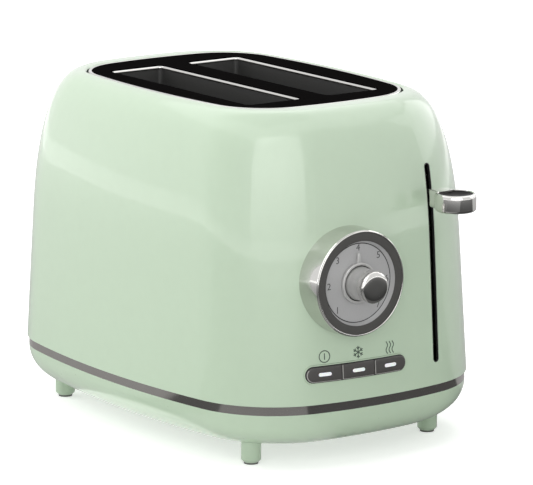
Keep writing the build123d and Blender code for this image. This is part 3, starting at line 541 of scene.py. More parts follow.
def stadium(start: Sequence[float], end: Sequence[float], radius: float, steps: int = 25,
            end_steps: int = 13) -> tuple[np.ndarray, np.ndarray]:
    """Outline of a bar with round ends: two straight sides and two half turns.

    Args:
        start: Middle of the first round end.
        end: Middle of the second round end.
        radius: Half of the bar's width.
        steps: Points on each side.
        end_steps: Points on each half turn.

    Returns:
        Points in turn and their outward normals.
    """
    first, last = np.array(start, float), np.array(end, float)
    along = (last - first) / np.linalg.norm(last - first)
    side = np.array([along[1], -along[0]])
    turn = np.linspace(0, np.pi, end_steps)[:, None]
    cap = np.cos(turn) * side + np.sin(turn) * along
    share = np.linspace(0, 1, steps)[1:-1, None]
    middle = first + (last - first) * share
    flank = np.broadcast_to(side, middle.shape)
    normals = np.concatenate([flank, cap, -flank, -cap])
    first_root = np.broadcast_to(first, cap.shape)
    last_root = np.broadcast_to(last, cap.shape)
    roots = np.concatenate([middle, last_root, middle[::-1], first_root])
    return roots + radius * normals, normals


# The housing's form

@dataclass(frozen=True)
class BodyForm:
    """Bowed, leaning and round-shouldered form of the cover, in millimetres."""

    width: float = 182.0
    length: float = 259.2
    side_bow: float = 530.0
    end_bow: float = 240.0
    corner: float = 53.5
    corner_shrink: float = 0.42
    belt_top: float = 36.3
    side_lean: float = 0.043
    end_lean: float = 0.066
    shoulder_start: float = 108.5
    shoulder_rise: float = 80.0
    shoulder_reach: float = 22.6
    shoulder_power: float = 2.4
    slope_step: float = 0.5

    def corner_middle(self, half_width: Length, half_length: Length,
                      corner: Length) -> tuple[Length, Length]:
        """Middle of the corner arc, where circles inside the two bows by the corner's radius cross.

        Args:
            half_width: From the middle to the side.
            half_length: From the middle to the end.
            corner: Radius of the corner.

        Returns:
            X and y of the arc's middle.
        """
        side_x = half_width - self.side_bow
        end_y = half_length - self.end_bow
        span = np.hypot(side_x, end_y)
        to_side = self.side_bow - corner
        along = (to_side**2 - (self.end_bow - corner) ** 2 + span**2) / (2 * span)
        across = np.sqrt(to_side**2 - along**2)
        x = side_x - (side_x * along + end_y * across) / span
        y = (end_y * along - side_x * across) / span
        return x, y

    def front(self, x: np.ndarray, z: np.ndarray) -> np.ndarray:
        """Y of the front face: the end's bow, and past its tangent point the corner's arc.

        The half sizes shrink with the lean and with the shoulder's superellipse.

        Args:
            x: Places across.
            z: Heights.

        Returns:
            Y at each place.
        """
        rise = np.maximum(z - self.shoulder_start, 0.0) / self.shoulder_rise
        shoulder = self.shoulder_reach * (1 - (1 - rise**self.shoulder_power) ** (1 / self.shoulder_power))
        side = shoulder + self.side_lean * (z - self.belt_top)
        half_length = self.length / 2 - shoulder - self.end_lean * (z - self.belt_top)
        corner = self.corner - self.corner_shrink * side
        middle_x, middle_y = self.corner_middle(self.width / 2 - side, half_length, corner)
        tangent = self.end_bow * middle_x / np.hypot(middle_x, middle_y - half_length + self.end_bow)
        out = np.abs(x)
        bow = self.end_bow - half_length - np.sqrt(self.end_bow**2 - out**2)
        rounded = -middle_y - np.sqrt(np.maximum(corner**2 - (out - middle_x) ** 2, 0.0))
        return np.where(out <= tangent, bow, rounded)

    def outline(self, half_width: float, half_length: float, corner: float,
                steps: int = 16) -> tuple[np.ndarray, np.ndarray]:
        """Plan of a bowed rectangle: side, corner and end arcs, mirrored all round.

        Args:
            half_width: From the middle to the side.
            half_length: From the middle to the end.
            corner: Radius of the corner.
            steps: Points on each arc.

        Returns:
            Points and their outward normals.
        """
        x, y = self.corner_middle(half_width, half_length, corner)
        side_x = half_width - self.side_bow
        end_y = half_length - self.end_bow
        first = math.atan2(y, x - side_x)
        second = math.atan2(y - end_y, x)
        arcs = (((side_x, 0.0), self.side_bow, 0.0, first),
                ((x, y), corner, first, second),
                ((0.0, end_y), self.end_bow, second, math.pi / 2))
        points = []
        normals = []
        for middle, radius, start, end in arcs:
            turn = start + (end - start) * (np.arange(steps) + 0.5) / steps
            way = np.stack([np.cos(turn), np.sin(turn)], axis=1)
            points.append(np.array(middle) + radius * way)
            normals.append(way)
        return all_round(np.concatenate(points)), all_round(np.concatenate(normals))

    def on_front(self, flat: np.ndarray, rise: Length = 0.0) -> np.ndarray:
        """Sets (x, z) points on the front face, or in front of it by a rise."""
        x, z = flat[:, 0], flat[:, 1]
        return np.column_stack([x, self.front(x, z) - rise, z])

    def normals(self, flat: np.ndarray) -> np.ndarray:
        """Outward normals of the front face, from its slopes over a small step.

        Args:
            flat: Points as (x, z).

        Returns:
            Unit normal at each point.
        """
        x, z = flat[:, 0], flat[:, 1]
        step = self.slope_step
        slope_x = (self.front(x + step, z) - self.front(x - step, z)) / (2 * step)
        slope_z = (self.front(x, z + step) - self.front(x, z - step)) / (2 * step)
        up = np.column_stack([slope_x, -np.ones_like(x), slope_z])
        return up / np.linalg.norm(up, axis=1, keepdims=True)

    def standing(self, flat: np.ndarray, out: np.ndarray) -> tuple[np.ndarray, np.ndarray, np.ndarray]:
        """Sets an outline on the front: points, outward ways in the surface and the surface's normals.

        Args:
            flat: Points as (x, z).
            out: Outward normals as (x, z).

        Returns:
            Path, ways across it and ways out of the cover.
        """
        up = self.normals(flat)
        across = np.column_stack([out[:, 0], np.zeros(len(out)), out[:, 1]])
        across -= up * np.sum(across * up, axis=1, keepdims=True)
        return self.on_front(flat), across, up

    def printed(self, flat: np.ndarray, width: float, closed: bool) -> Shape:
        """Lays a line of ink on the front face.

        Args:
            flat: Points of the line as (x, z).
            width: Width of the line.
            closed: Whether the line joins its own start.

        Returns:
            Corners and faces of the ink.
        """
        path = self.on_front(flat)
        up = self.normals(flat)
        if closed:
            along = np.roll(path, -1, axis=0) - np.roll(path, 1, axis=0)
        else:
            along = np.gradient(path, axis=0)
        along /= np.linalg.norm(along, axis=1, keepdims=True)
        half = width / 2
        strip = np.array([(-half, 0.0), (half, 0.0), (half, INK_FILM), (-half, INK_FILM)])
        return carried(path, np.cross(along, up), up, strip, closed)


FORM = BodyForm()


# Print

@dataclass
class Signs:
    """Printed signs above the buttons: a circled bar, a snow star and rising heat."""

    height: float = 61.6
    line: float = 0.55
    line_steps: int = 5
    stop_x: float = -36.0
    ring_radius: float = 3.1
    ring_steps: int = 48
    bar_share: float = 0.55
    frost_x: float = -15.6
    star_radius: float = 3.3
    star_arms: int = 6
    star_turn: float = 30.0
    barb_place: float = 0.55
    barb_length: float = 0.38
    barb_turn: float = 0.85
    heat_x: float = 5.0
    wave_height: float = 6.6
    wave_pitch: float = 2.0
    wave_swing: float = 0.55
    wave_turns: float = 1.25
    wave_steps: int = 40

    def line_between(self, start: Sequence[float], end: Sequence[float]) -> Shape:
        """Straight printed line between two (x, z) points."""
        share = np.linspace(0, 1, self.line_steps)[:, None]
        return FORM.printed(np.array(start) * (1 - share) + np.array(end) * share, self.line, False)

    def stop(self) -> list[Shape]:
        """Ring with an upright bar.

        Returns:
            Shapes of the sign.
        """
        ring = circle((self.stop_x, self.height), self.ring_radius, self.ring_steps)
        half = self.ring_radius * self.bar_share
        bar = self.line_between((self.stop_x, self.height - half), (self.stop_x, self.height + half))
        return [FORM.printed(ring, self.line, True), bar]

    def frost(self) -> list[Shape]:
        """Arms at even angles, each with two short barbs.

        Returns:
            Shapes of the sign.
        """
        parts = []
        centre = np.array([self.frost_x, self.height])
        for angle in np.radians(self.star_turn + 360 / self.star_arms * np.arange(self.star_arms)):
            arm = np.array([math.cos(angle), math.sin(angle)]) * self.star_radius
            parts.append(self.line_between(centre, centre + arm))
            root = centre + arm * self.barb_place
            for turn in (-self.barb_turn, self.barb_turn):
                barb = np.array([math.cos(angle + turn), math.sin(angle + turn)]) * self.star_radius
                parts.append(self.line_between(root, root + barb * self.barb_length))
        return parts

    def heat(self) -> list[Shape]:
        """Three upright waves: a sine of the height.

        Returns:
            Shapes of the sign.
        """
        rise = np.linspace(-0.5, 0.5, self.wave_steps)
        swing = self.wave_swing * np.sin(2 * np.pi * self.wave_turns * rise)
        z = self.height + self.wave_height * rise
        parts = []
        for index in (-1, 0, 1):
            x = self.heat_x + index * self.wave_pitch + swing
            parts.append(FORM.printed(np.column_stack([x, z]), self.line, False))
        return parts

    def build(self) -> None:
        """Prints the three signs on the cover."""
        signs = {"sign_stop": self.stop(), "sign_frost": self.frost(), "sign_heat": self.heat()}
        for name, parts in signs.items():
            piece(name, joined(parts), GREEN_INK, "frame")


@dataclass
class Numerals:
    """Numbers one to seven round the dial's face, upright, with four at the top."""

    x: float = DIAL_CENTRE[0]
    z: float = DIAL_CENTRE[2]
    face: float = DIAL_FACE
    radius: float = 18.8
    height: float = 3.6
    height_share: float = 0.7
    step: float = 45.0
    middle: int = 4
    last: int = 7

    def letter(self, number: int) -> bpy.types.Mesh:
        """Sets one number as a thin flat film of ink.

        Args:
            number: The number to print.

        Returns:
            Mesh of the number, lying at the origin.
        """
        curve = bpy.data.curves.new(f"number_{number}", "FONT")
        curve.body = str(number)
        curve.size = self.height / self.height_share * MM
        curve.align_x = "CENTER"
        curve.align_y = "CENTER"
        curve.extrude = INK_FILM / 2 * MM
        text = bpy.data.objects.new(curve.name, curve)
        bpy.context.scene.collection.objects.link(text)
        mesh = bpy.data.meshes.new_from_object(text.evaluated_get(bpy.context.evaluated_depsgraph_get()))
        bpy.data.objects.remove(text)
        return mesh

    def build(self) -> None:
        """Stands each number on the face, at its own angle round the dial."""
        upright = Matrix(((1, 0, 0), (0, 0, -1), (0, 1, 0))).to_4x4()
        for number in range(1, self.last + 1):
            angle = math.radians((number - self.middle) * self.step)
            x = self.x + self.radius * math.sin(angle)
            z = self.z + self.radius * math.cos(angle)
            place = Vector((x, self.face - INK_FILM / 2, z)) * MM
            mesh = self.letter(number)
            mesh.transform(Matrix.Translation(place) @ upright)
            mesh.materials.clear()
            mesh.materials.append(GREY_INK.build())
            made = bpy.data.objects.new(f"dial_number_{number}", mesh)
            bpy.context.scene.collection.objects.link(made)
            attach(made, "frame")
            log.info("piece %s on frame", made.name)


# Sub-assemblies

@dataclass
class TopTrim:
    """Chrome bead on the panel's edge band, and the beaded walls of the two bread slots."""

    half_width: float = 60.0
    half_length: float = 88.2
    corner: float = 32.5
    band: float = 1.6
    bead_foot: float = 187.5
    bead_height: float = 0.95
    bead_reach: float = 1.0
    bead_shift: float = 0.15
    bead_steps: int = 13
    slot_x: float = 25.9
    slot_width: float = 36.4
    slot_length: float = 135.0
    slot_corner: float = 4.0
    corner_steps: int = 9
    rim_top: float = 187.6
    rim_radius: float = 0.95
    rim_play: float = 0.1
    rim_steps: int = 16
    wall_inset: float = 1.5
    wall_top: float = 187.2
    wall_bottom: float = 161.0
    wall_thickness: float = 0.8

    def edge(self) -> None:
        """Half-round bead, a cosine across and a sine up, carried round the panel's outline."""
        half = self.band / 2
        plan, normals = FORM.outline(self.half_width + half, self.half_length + half, self.corner + half)
        round_top = arc((0, 0), 1.0, 0, 180, self.bead_steps)
        profile = round_top * (self.bead_reach, self.bead_height) + (self.bead_shift, 0.0)
        path = np.column_stack([plan, np.full(len(plan), self.bead_foot)])
        across = np.column_stack([normals, np.zeros(len(plan))])
        shape = carried(path, across, repeated(UPWARD, path), profile, True)
        piece("top_trim_bead", shape, CHROME, "frame")

    def slot_path(self, middle: float) -> tuple[np.ndarray, np.ndarray]:
        """Rounded rectangle of one slot.

        Args:
            middle: X of the slot's middle.

        Returns:
            Points and their outward normals.
        """
        normals = arc((0, 0), 1.0, 0, 90, self.corner_steps)
        straight = np.array([self.slot_width / 2, self.slot_length / 2]) - self.slot_corner
        plan = all_round(straight + self.slot_corner * normals) + (middle, 0.0)
        flat = np.zeros(len(plan))
        return np.column_stack([plan, flat]), np.column_stack([all_round(normals), flat])

    def slots(self) -> None:
        """Round chrome rim just under the panel's top, and the plain wall below it."""
        rim_middle = (-self.rim_play - self.rim_radius, self.rim_top - self.rim_radius)
        rim = circle(rim_middle, self.rim_radius, self.rim_steps)
        inner = -self.wall_inset
        outer = inner + self.wall_thickness
        wall = np.array([(inner, self.wall_bottom), (outer, self.wall_bottom), (outer, self.wall_top),
                         (inner, self.wall_top)])
        for side, middle in (("left", -self.slot_x), ("right", self.slot_x)):
            path, across = self.slot_path(middle)
            up = repeated(UPWARD, path)
            rim_shape = carried(path, across, up, rim, True)
            made = piece(f"slot_rim_{side}", rim_shape, CHROME, "frame")
            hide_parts(f"slot_liner_{side}")
            wall_shape = carried(path, across, up, wall, True)
            # The wall's dark grey sheet is painted shade inside the slot
            piece(f"slot_wall_{side}", wall_shape, LINER_STEEL, "frame")

    def build(self) -> None:
        """Makes the bead and the slots."""
        self.edge()
        self.slots()


@dataclass
class LeverKnob:
    """Chrome puck with a rounded rim, its black dish and the neck to the cover's slot."""

    x: float = 37.8
    y: float = -141.44
    low: float = 133.7
    high: float = 143.3
    radius: float = 10.99
    low_round: float = 1.5
    shoulder_reach: float = 1.2
    shoulder_drop: float = 2.0
    rim: float = 0.2
    seat_edge: float = 0.4
    seat_depth: float = 3.4
    dish_depth: float = 1.7
    dish_back: float = 3.23
    dish_play: float = 0.02
    dish_power: float = 2.5
    dish_steps: int = 15
    neck_half: float = 6.0
    neck_round: float = 1.6
    neck_round_steps: int = 6
    neck_end: float = -126.8
    neck_start: float = -134.0
    neck_steps: int = 8
    slot_half: float = 1.85
    slot_low: float = 48.6
    slot_high: float = 155.3
    slot_lip: float = 0.22
    slot_depth: float = 1.3
    slot_wall: float = 0.12

    def spun(self, profile: np.ndarray) -> Shape:
        """Turns a profile about the puck's upright axis."""
        return turned(profile, (self.x, self.y, 0.0), Axis.UPRIGHT, False)

    def puck(self) -> None:
        """Turns the puck: flat foot, round edges, narrow rim and the seat of the dish."""
        top = self.radius - self.shoulder_reach
        rim_edge = top - self.rim
        seat = rim_edge - self.seat_edge
        seat_floor = self.high - self.seat_depth
        foot = arc((self.radius - self.low_round, self.low + self.low_round), self.low_round, -90, 0)
        shoulder = arc((0, 0), 1.0, 0, 90) * (self.shoulder_reach, self.shoulder_drop)
        shoulder += (top, self.high - self.shoulder_drop)
        hollow = [(rim_edge, self.high), (seat, self.high - self.seat_edge), (seat, seat_floor),
                  (0.0, seat_floor)]
        profile = np.concatenate([[(0.0, self.low)], foot, shoulder, hollow])
        made = piece("lever_puck", self.spun(profile), CHROME, "lift")
        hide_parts("lever_knob")

    def dish(self) -> None:
        """Turns the dish, whose hollow rises from its middle as a power of the radius."""
        edge = self.radius - self.shoulder_reach - self.rim - self.seat_edge - self.dish_play
        out = np.linspace(0, 1, self.dish_steps)
        rise = (self.dish_depth - self.seat_edge) * out**self.dish_power
        hollow = np.column_stack([edge * out, self.high - self.dish_depth + rise])
        back = self.high - self.dish_back
        profile = np.concatenate([hollow, [(edge, back), (0.0, back)]])
        made = piece("lever_dish", self.spun(profile), BLACK_ABS, "lift")
        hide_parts("lever_inlay")

    def neck(self) -> None:
        """Carries a rounded rectangle from inside the puck to the cover."""
        half = (self.high - self.low) / 2
        straight = np.array([self.neck_half, half]) - self.neck_round
        quarter = arc((0, 0), self.neck_round, 0, 90, self.neck_round_steps)
        profile = all_round(straight + quarter)
        along = np.linspace(self.neck_start, self.neck_end, self.neck_steps)
        middle = (self.low + self.high) / 2
        path = np.column_stack([np.full(self.neck_steps, self.x), along, np.full(self.neck_steps, middle)])
        shape = carried(path, repeated(RIGHTWARD, path), repeated(UPWARD, path), profile, False)
        piece("lever_neck", shape, CHROME, "lift")

    def slot(self) -> None:
        """Black edging of the cover's slot, painted shade that makes the slot read as a wider dark line: an
        angle profile, a sleeve down the wall and a lip on the cover, carried round the slot's outline.
        """
        low, high = self.slot_low + self.slot_half, self.slot_high - self.slot_half
        path, across, up = FORM.standing(*stadium((self.x, low), (self.x, high), self.slot_half))
        profile = np.array([(-self.slot_wall, -self.slot_depth), (0.0, -self.slot_depth), (0.0, 0.0),
                            (self.slot_lip, 0.0), (self.slot_lip, INK_FILM), (-self.slot_wall, INK_FILM)])
        shape = carried(path, across, up, profile, True)
        piece("lever_slot_shade", shape, BLACK_MOULDING_AND_SHADE, "frame")

    def build(self) -> None:
        """Makes puck, dish, neck and the slot's edging of painted shade."""
        self.puck()
        self.dish()
        self.neck()
        self.slot()


@dataclass
class BrowningDial:
    """Chrome cup on the cover, dark ring, grey face and the turned knob with its pointer."""

    x: float = DIAL_CENTRE[0]
    z: float = DIAL_CENTRE[2]
    rim: float = -135.176
    face: float = DIAL_FACE
    cup_radius: float = 29.0
    cup_wall: float = 1.2
    cup_sunk: float = 0.1
    cup_segments: int = 160
    rim_radius: float = 28.0
    rim_steps: int = 13
    rim_back: float = 0.8
    flare: float = 0.35
    flare_back: float = 1.0
    inside_step: float = 0.4
    inside_back: float = 1.0
    step_back: float = 1.2
    ring_radius: float = 27.25
    ring_inner: float = 22.65
    ring_sunk: float = 0.35
    ring_round: float = 0.3
    edge_steps: int = 5
    plate_thick: float = 1.5
    plate_play: float = 0.05
    bevel: float = 0.25
    bevel_sunk: float = 0.35
    groove: float = 21.35
    groove_width: float = 0.5
    groove_depth: float = 0.4
    line_sunk: float = 0.1
    hole: float = 4.5
    skirt_radius: float = 10.9
    skirt_front: float = -133.976
    skirt_back: float = -132.476
    skirt_round: float = 0.5
    moat: float = 9.5
    moat_round: float = 0.3
    moat_depth: float = 0.6
    small_steps: int = 4
    stem_radius: float = 9.0
    stem_end: float = 8.0
    stem_front: float = -142.376
    stem_bevel: float = 0.5
    stem_gap: float = 0.1
    stem_edge: float = 0.4
    cap_radius: float = 8.6
    cap_front: float = -147.976
    cap_round: float = 0.4
    dome: float = 2.4
    dome_power: float = 4.2
    dome_steps: int = 19
    pointer_root: float = 10.4
    pointer_end: float = 15.9
    pointer_base: float = 1.5
    pointer_tip: float = 0.75
    pointer_height: float = 1.0
    pointer_drop: float = 0.55
    pointer_power: float = 6.0
    pointer_rows: int = 9
    pointer_columns: int = 11

    def spun(self, profile: np.ndarray | Sequence[Sequence[float]], ring: bool = True,
             segments: int = 128) -> Shape:
        """Turns a profile about the dial's axis."""
        return turned(np.asarray(profile, float), (self.x, 0.0, self.z), Axis.LEVEL, ring, segments)

    def cup(self) -> None:
        """Turns the chrome cup, and then sets its two back edges on the cover's curve all round."""
        lip = (self.rim_radius - self.ring_radius) / 2
        outside = [(self.cup_radius, self.rim), (self.rim_radius + self.flare, self.rim + self.flare_back),
                   (self.rim_radius, self.rim + self.rim_back)]
        rim = arc((self.ring_radius + lip, self.rim + lip), lip, 0, -180, self.rim_steps)
        inside = [(self.ring_radius, self.face + self.inside_back),
                  (self.ring_radius + self.inside_step, self.face + self.step_back),
                  (self.cup_radius - self.cup_wall, self.rim)]
        points, faces = self.spun(np.concatenate([outside, rim, inside]), segments=self.cup_segments)
        grid = points.reshape(self.cup_segments, -1, 3)
        for column in (0, -1):
            grid[:, column, 1] = FORM.front(grid[:, column, 0], grid[:, column, 2]) + self.cup_sunk
        made = piece("dial_cup", (grid.reshape(-1, 3), faces), CHROME, "frame")
        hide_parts("dial_bezel")

    def ring(self) -> None:
        """Turns the dark ring with its two rounded front edges."""
        front = self.rim + self.ring_sunk
        back = self.face + self.plate_thick
        r = self.ring_round
        foot = [(self.ring_inner, back), (self.ring_radius, back)]
        outer_edge = arc((self.ring_radius - r, front + r), r, 0, -90, self.edge_steps)
        inner_edge = arc((self.ring_inner + r, front + r), r, -90, -180, self.edge_steps)
        profile = np.concatenate([foot, outer_edge, inner_edge])
        made = piece("dial_dark_ring", self.spun(profile), DARK_RING, "frame")
        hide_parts("dial_ring")

    def plate(self) -> None:
        """Turns the face with its groove and bevel, and a black ring in the groove that is painted shade.
        """
        back = self.face + self.plate_thick
        inner = self.groove - self.groove_width
        floor = self.face + self.groove_depth
        edge = self.ring_inner - self.plate_play
        bevel_end = self.rim + self.ring_sunk + self.bevel_sunk
        profile = [(self.hole, self.face), (inner, self.face), (inner, floor), (self.groove, floor),
                   (self.groove, self.face), (self.groove + self.bevel, self.face - self.bevel),
                   (edge, bevel_end), (edge, back), (self.hole, back)]
        made = piece("dial_plate", self.spun(profile), SATIN_ALUMINIUM, "frame")
        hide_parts("dial_face")
        # Black ring in the groove's floor: painted shade of the groove
        top = self.face + self.line_sunk
        line = [(inner, floor), (self.groove, floor), (self.groove, top), (inner, top)]
        piece("dial_groove_shade", self.spun(line), BLACK_MOULDING_AND_SHADE, "frame")

    def skirt(self) -> None:
        """Turns the knob's skirt with its rounded front, and the dark moat inside it."""
        foot = [(self.moat, self.skirt_back), (self.skirt_radius, self.skirt_back)]
        r = self.skirt_round
        outer_edge = arc((self.skirt_radius - r, self.skirt_front + r), r, 0, -90, self.edge_steps)
        r = self.moat_round
        inner_edge = arc((self.moat + r, self.skirt_front + r), r, -90, -180, self.small_steps)
        profile = np.concatenate([foot, outer_edge, inner_edge])
        made = piece("knob_collar", self.spun(profile), PALE_ALUMINIUM, "knob")
        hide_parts("knob_skirt")
        floor = self.skirt_front + self.moat_depth
        moat = [(self.hole, self.skirt_back), (self.moat, self.skirt_back), (self.moat, floor),
                (self.hole, floor)]
        piece("knob_moat", self.spun(moat), BLACK_MOULDING_AND_SHADE, "knob")

    def stem(self) -> None:
        """Turns the tapered stem and its domed cap, a superellipse from the cap's side to its front."""
        foot = self.skirt_front + self.moat_depth
        end = self.stem_front + self.stem_gap
        stem = [(self.hole, foot), (self.stem_radius, foot), (self.stem_radius, self.skirt_front),
                (self.stem_end, self.stem_front + self.stem_edge), (self.stem_end - self.stem_bevel, end),
                (self.hole, end)]
        made = piece("knob_barrel", self.spun(stem), TURNED_ALUMINIUM, "knob")
        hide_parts("knob_stem")
        power = 2 / self.dome_power
        turn = np.radians(np.linspace(0, 90, self.dome_steps))
        dome = np.column_stack([self.cap_radius * np.sin(turn) ** power,
                                self.cap_front + self.dome * (1 - np.cos(turn) ** power)])
        r = self.cap_round
        back = arc((self.cap_radius - r, self.stem_front - r), r, 0, 90, self.small_steps)
        profile = np.concatenate([dome, back, [(0.0, self.stem_front)]])
        cap = piece("knob_dome", self.spun(profile, ring=False), CHROME, "knob")
        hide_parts("knob_cap")

    def pointer(self) -> None:
        """Tapered bar on the skirt: its section is a power curve, and its height drops near the tip."""
        share = np.linspace(0, 1, self.pointer_rows)
        bend = np.linspace(-1, 1, self.pointer_columns)
        half = self.pointer_base + (self.pointer_tip - self.pointer_base) * share
        section = np.sqrt(1 - np.abs(bend) ** self.pointer_power)
        height = self.pointer_height * (1 - self.pointer_drop * share**self.pointer_power)
        x = self.x + half[:, None] * bend[None, :]
        y = self.skirt_back - section[None, :] * height[:, None]
        z = self.z + self.pointer_root + (self.pointer_end - self.pointer_root) * share
        points = np.stack([x, y, np.broadcast_to(z[:, None], x.shape)], axis=-1).reshape(-1, 3)
        faces = capped_faces(self.pointer_rows, self.pointer_columns)
        piece("knob_pointer", (points, faces), PALE_ALUMINIUM, "knob")

    def build(self) -> None:
        """Makes cup, plates and knob."""
        self.cup()
        self.ring()
        self.plate()
        self.skirt()
        self.stem()
        self.pointer()


@dataclass(frozen=True)
class KeyBar:
    """Rounded bar on the cover, with its own corner radius at each end: a button or its window."""

    left: float
    right: float
    height: float
    half: float
    left_corner: float
    right_corner: float
    proud: float
    edge: float
    back: float
    edge_steps: int = 6
    corner_steps: int = 8
    least_corner: float = 0.01
    least_half: float = 0.1
    rub_top: float = 135.0
    film_steps: int = 4

    def outline(self, inset: float) -> np.ndarray:
        """Points round the bar, drawn in by an inset: a quarter turn at each corner.

        Args:
            inset: How far the outline is drawn in.

        Returns:
            Points in turn as (x, z).
        """
        corners = []
        for way_x, way_z, start in ((1, 1, 0), (-1, 1, 90), (-1, -1, 180), (1, -1, 270)):
            radius = max((self.right_corner if way_x > 0 else self.left_corner) - inset, self.least_corner)
            x = self.right - inset - radius if way_x > 0 else self.left + inset + radius
            z = self.height + way_z * (self.half - inset - radius)
            corners.append(arc((x, z), radius, start, start + 90, self.corner_steps))
        return np.concatenate(corners)

    def shape(self) -> Shape:
        """Rings of the bar: the outline shrinks as a cosine while its front rises as a sine of the edge.

        Returns:
            Corners and faces of the closed bar.
        """
        turn = np.radians(np.linspace(0, 90, self.edge_steps))
        front = [(self.half + self.edge) / 2, self.half - self.least_half]
        shrink = np.concatenate([[0.0], self.edge * (1 - np.cos(turn)), front])
        lift = np.concatenate([[-self.back], self.proud - self.edge * (1 - np.sin(turn)), [self.proud] * 2])
        rings = [FORM.on_front(self.outline(inset), rise) for inset, rise in zip(shrink, lift)]
        return np.concatenate(rings), capped_faces(len(rings), len(rings[0]))

    def rubbed(self, start: float, end: float, film: float, steps: int = 12) -> Shape:
        """Film of painted highlight on the rounded left and lower edge: about the left corners, then
        straight to the right one.

        Args:
            start: Angle at which the film begins on the rounded edge, in degrees from its side.
            end: Angle at which it ends.
            film: How far it stands out of the edge and reaches into it.
            steps: Points on the lower corner and on the straight edge.

        Returns:
            Corners and faces of the film.
        """
        corner = self.left_corner
        x = self.left + corner
        low = self.height - self.half
        high = self.height + self.half
        upper_turn = arc((x, high - corner), corner, self.rub_top, 180, self.corner_steps)
        lower_turn = arc((x, low + corner), corner, 180, 270, steps)
        lower_x = np.linspace(x, self.right - self.right_corner, steps)[1:]
        straight = np.column_stack([lower_x, np.full(len(lower_x), low)])
        flat = np.concatenate([upper_turn, lower_turn, straight])
        along = np.gradient(flat, axis=0)
        along /= np.linalg.norm(along, axis=1, keepdims=True)
        across = np.column_stack([along[:, 1], np.zeros(len(flat)), -along[:, 0]])
        middle = (-self.edge, self.proud - self.edge)
        profile = np.concatenate([arc(middle, self.edge - film, end, start, self.film_steps),
                                  arc(middle, self.edge + film, start, end, self.film_steps)])
        path = FORM.on_front(flat)
        points, faces = carried(path, across, repeated(FORWARD, path), profile, False)
        return FORM.on_front(points[:, ::2], np.tile(profile[:, 1], len(path))), faces


@dataclass
class ButtonRow:
    """Three round-edged buttons that follow the cover, each with a light window and a painted highlight
    along its left and lower edge.
    """

    height: float = 52.4
    middle: float = -16.2
    length: float = 61.6
    half: float = 4.0
    pitch: float = 20.4
    gap: float = 0.35
    proud: float = 1.2
    edge: float = 0.55
    square_corner: float = 0.7
    back: float = 2.5
    light_length: float = 7.7
    light_half: float = 0.98
    light_proud: float = 1.26
    light_edge: float = 0.25
    well_width: float = 0.45
    well_proud: float = 0.3
    rub_start: float = 30.0
    rub_end: float = 75.0
    rub_film: float = 0.03
    names: tuple[str, ...] = ("cancel", "defrost", "reheat")

    def well(self) -> None:
        """Black strip round the row, painted shade of the gap round the buttons: a flat strip carried round
        the row's outline on the frame.
        """
        reach = self.length / 2 - self.half
        ends = (self.middle - reach, self.height), (self.middle + reach, self.height)
        path, across, up = FORM.standing(*stadium(*ends, self.half))
        profile = np.array([(0.0, 0.0), (self.well_width, 0.0), (self.well_width, self.well_proud),
                            (0.0, self.well_proud)])
        shape = carried(path, across, up, profile, True)
        piece("button_gap_shade", shape, BLACK_MOULDING_AND_SHADE, "frame")

    def key(self, index: int) -> KeyBar:
        """One button: its outer end is the row's round end, and its inner ends leave half a gap.

        Args:
            index: Place of the button, from the left.

        Returns:
            The button's bar.
        """
        is_first = index == 0
        is_last = index == len(self.names) - 1
        start = self.middle - self.length / 2
        cuts = (start, self.middle - self.pitch / 2, self.middle + self.pitch / 2, start + self.length)
        return KeyBar(left=cuts[index] + (0.0 if is_first else self.gap / 2),
                      right=cuts[index + 1] - (0.0 if is_last else self.gap / 2),
                      height=self.height, half=self.half,
                      left_corner=self.half if is_first else self.square_corner,
                      right_corner=self.half if is_last else self.square_corner,
                      proud=self.proud, edge=self.edge, back=self.back)

    def window(self, index: int) -> KeyBar:
        """One light window in the middle of its button.

        Args:
            index: Place of the button, from the left.

        Returns:
            The window's bar.
        """
        x = self.middle + (index - 1) * self.pitch
        half_length = self.light_length / 2
        return KeyBar(left=x - half_length, right=x + half_length, height=self.height, half=self.light_half,
                      left_corner=self.light_half, right_corner=self.light_half,
                      proud=self.light_proud, edge=self.light_edge, back=0.0)

    def build(self) -> None:
        """Makes each button with its painted edge highlight and its window, on the body that it moves with.
        """
        self.well()
        for index, name in enumerate(self.names):
            key = self.key(index)
            made = piece(f"{name}_key", key.shape(), BUTTON_ABS, name)
            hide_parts(f"{name}_button")
            # Pale film on the button's left and lower edge: a painted highlight
            edge_highlight = key.rubbed(self.rub_start, self.rub_end, self.rub_film)
            piece(f"{name}_rub", edge_highlight, EDGE_HIGHLIGHT_ABS, name)
            light = piece(f"{name}_window", self.window(index).shape(), OPAL, name)
            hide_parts(f"{name}_light")


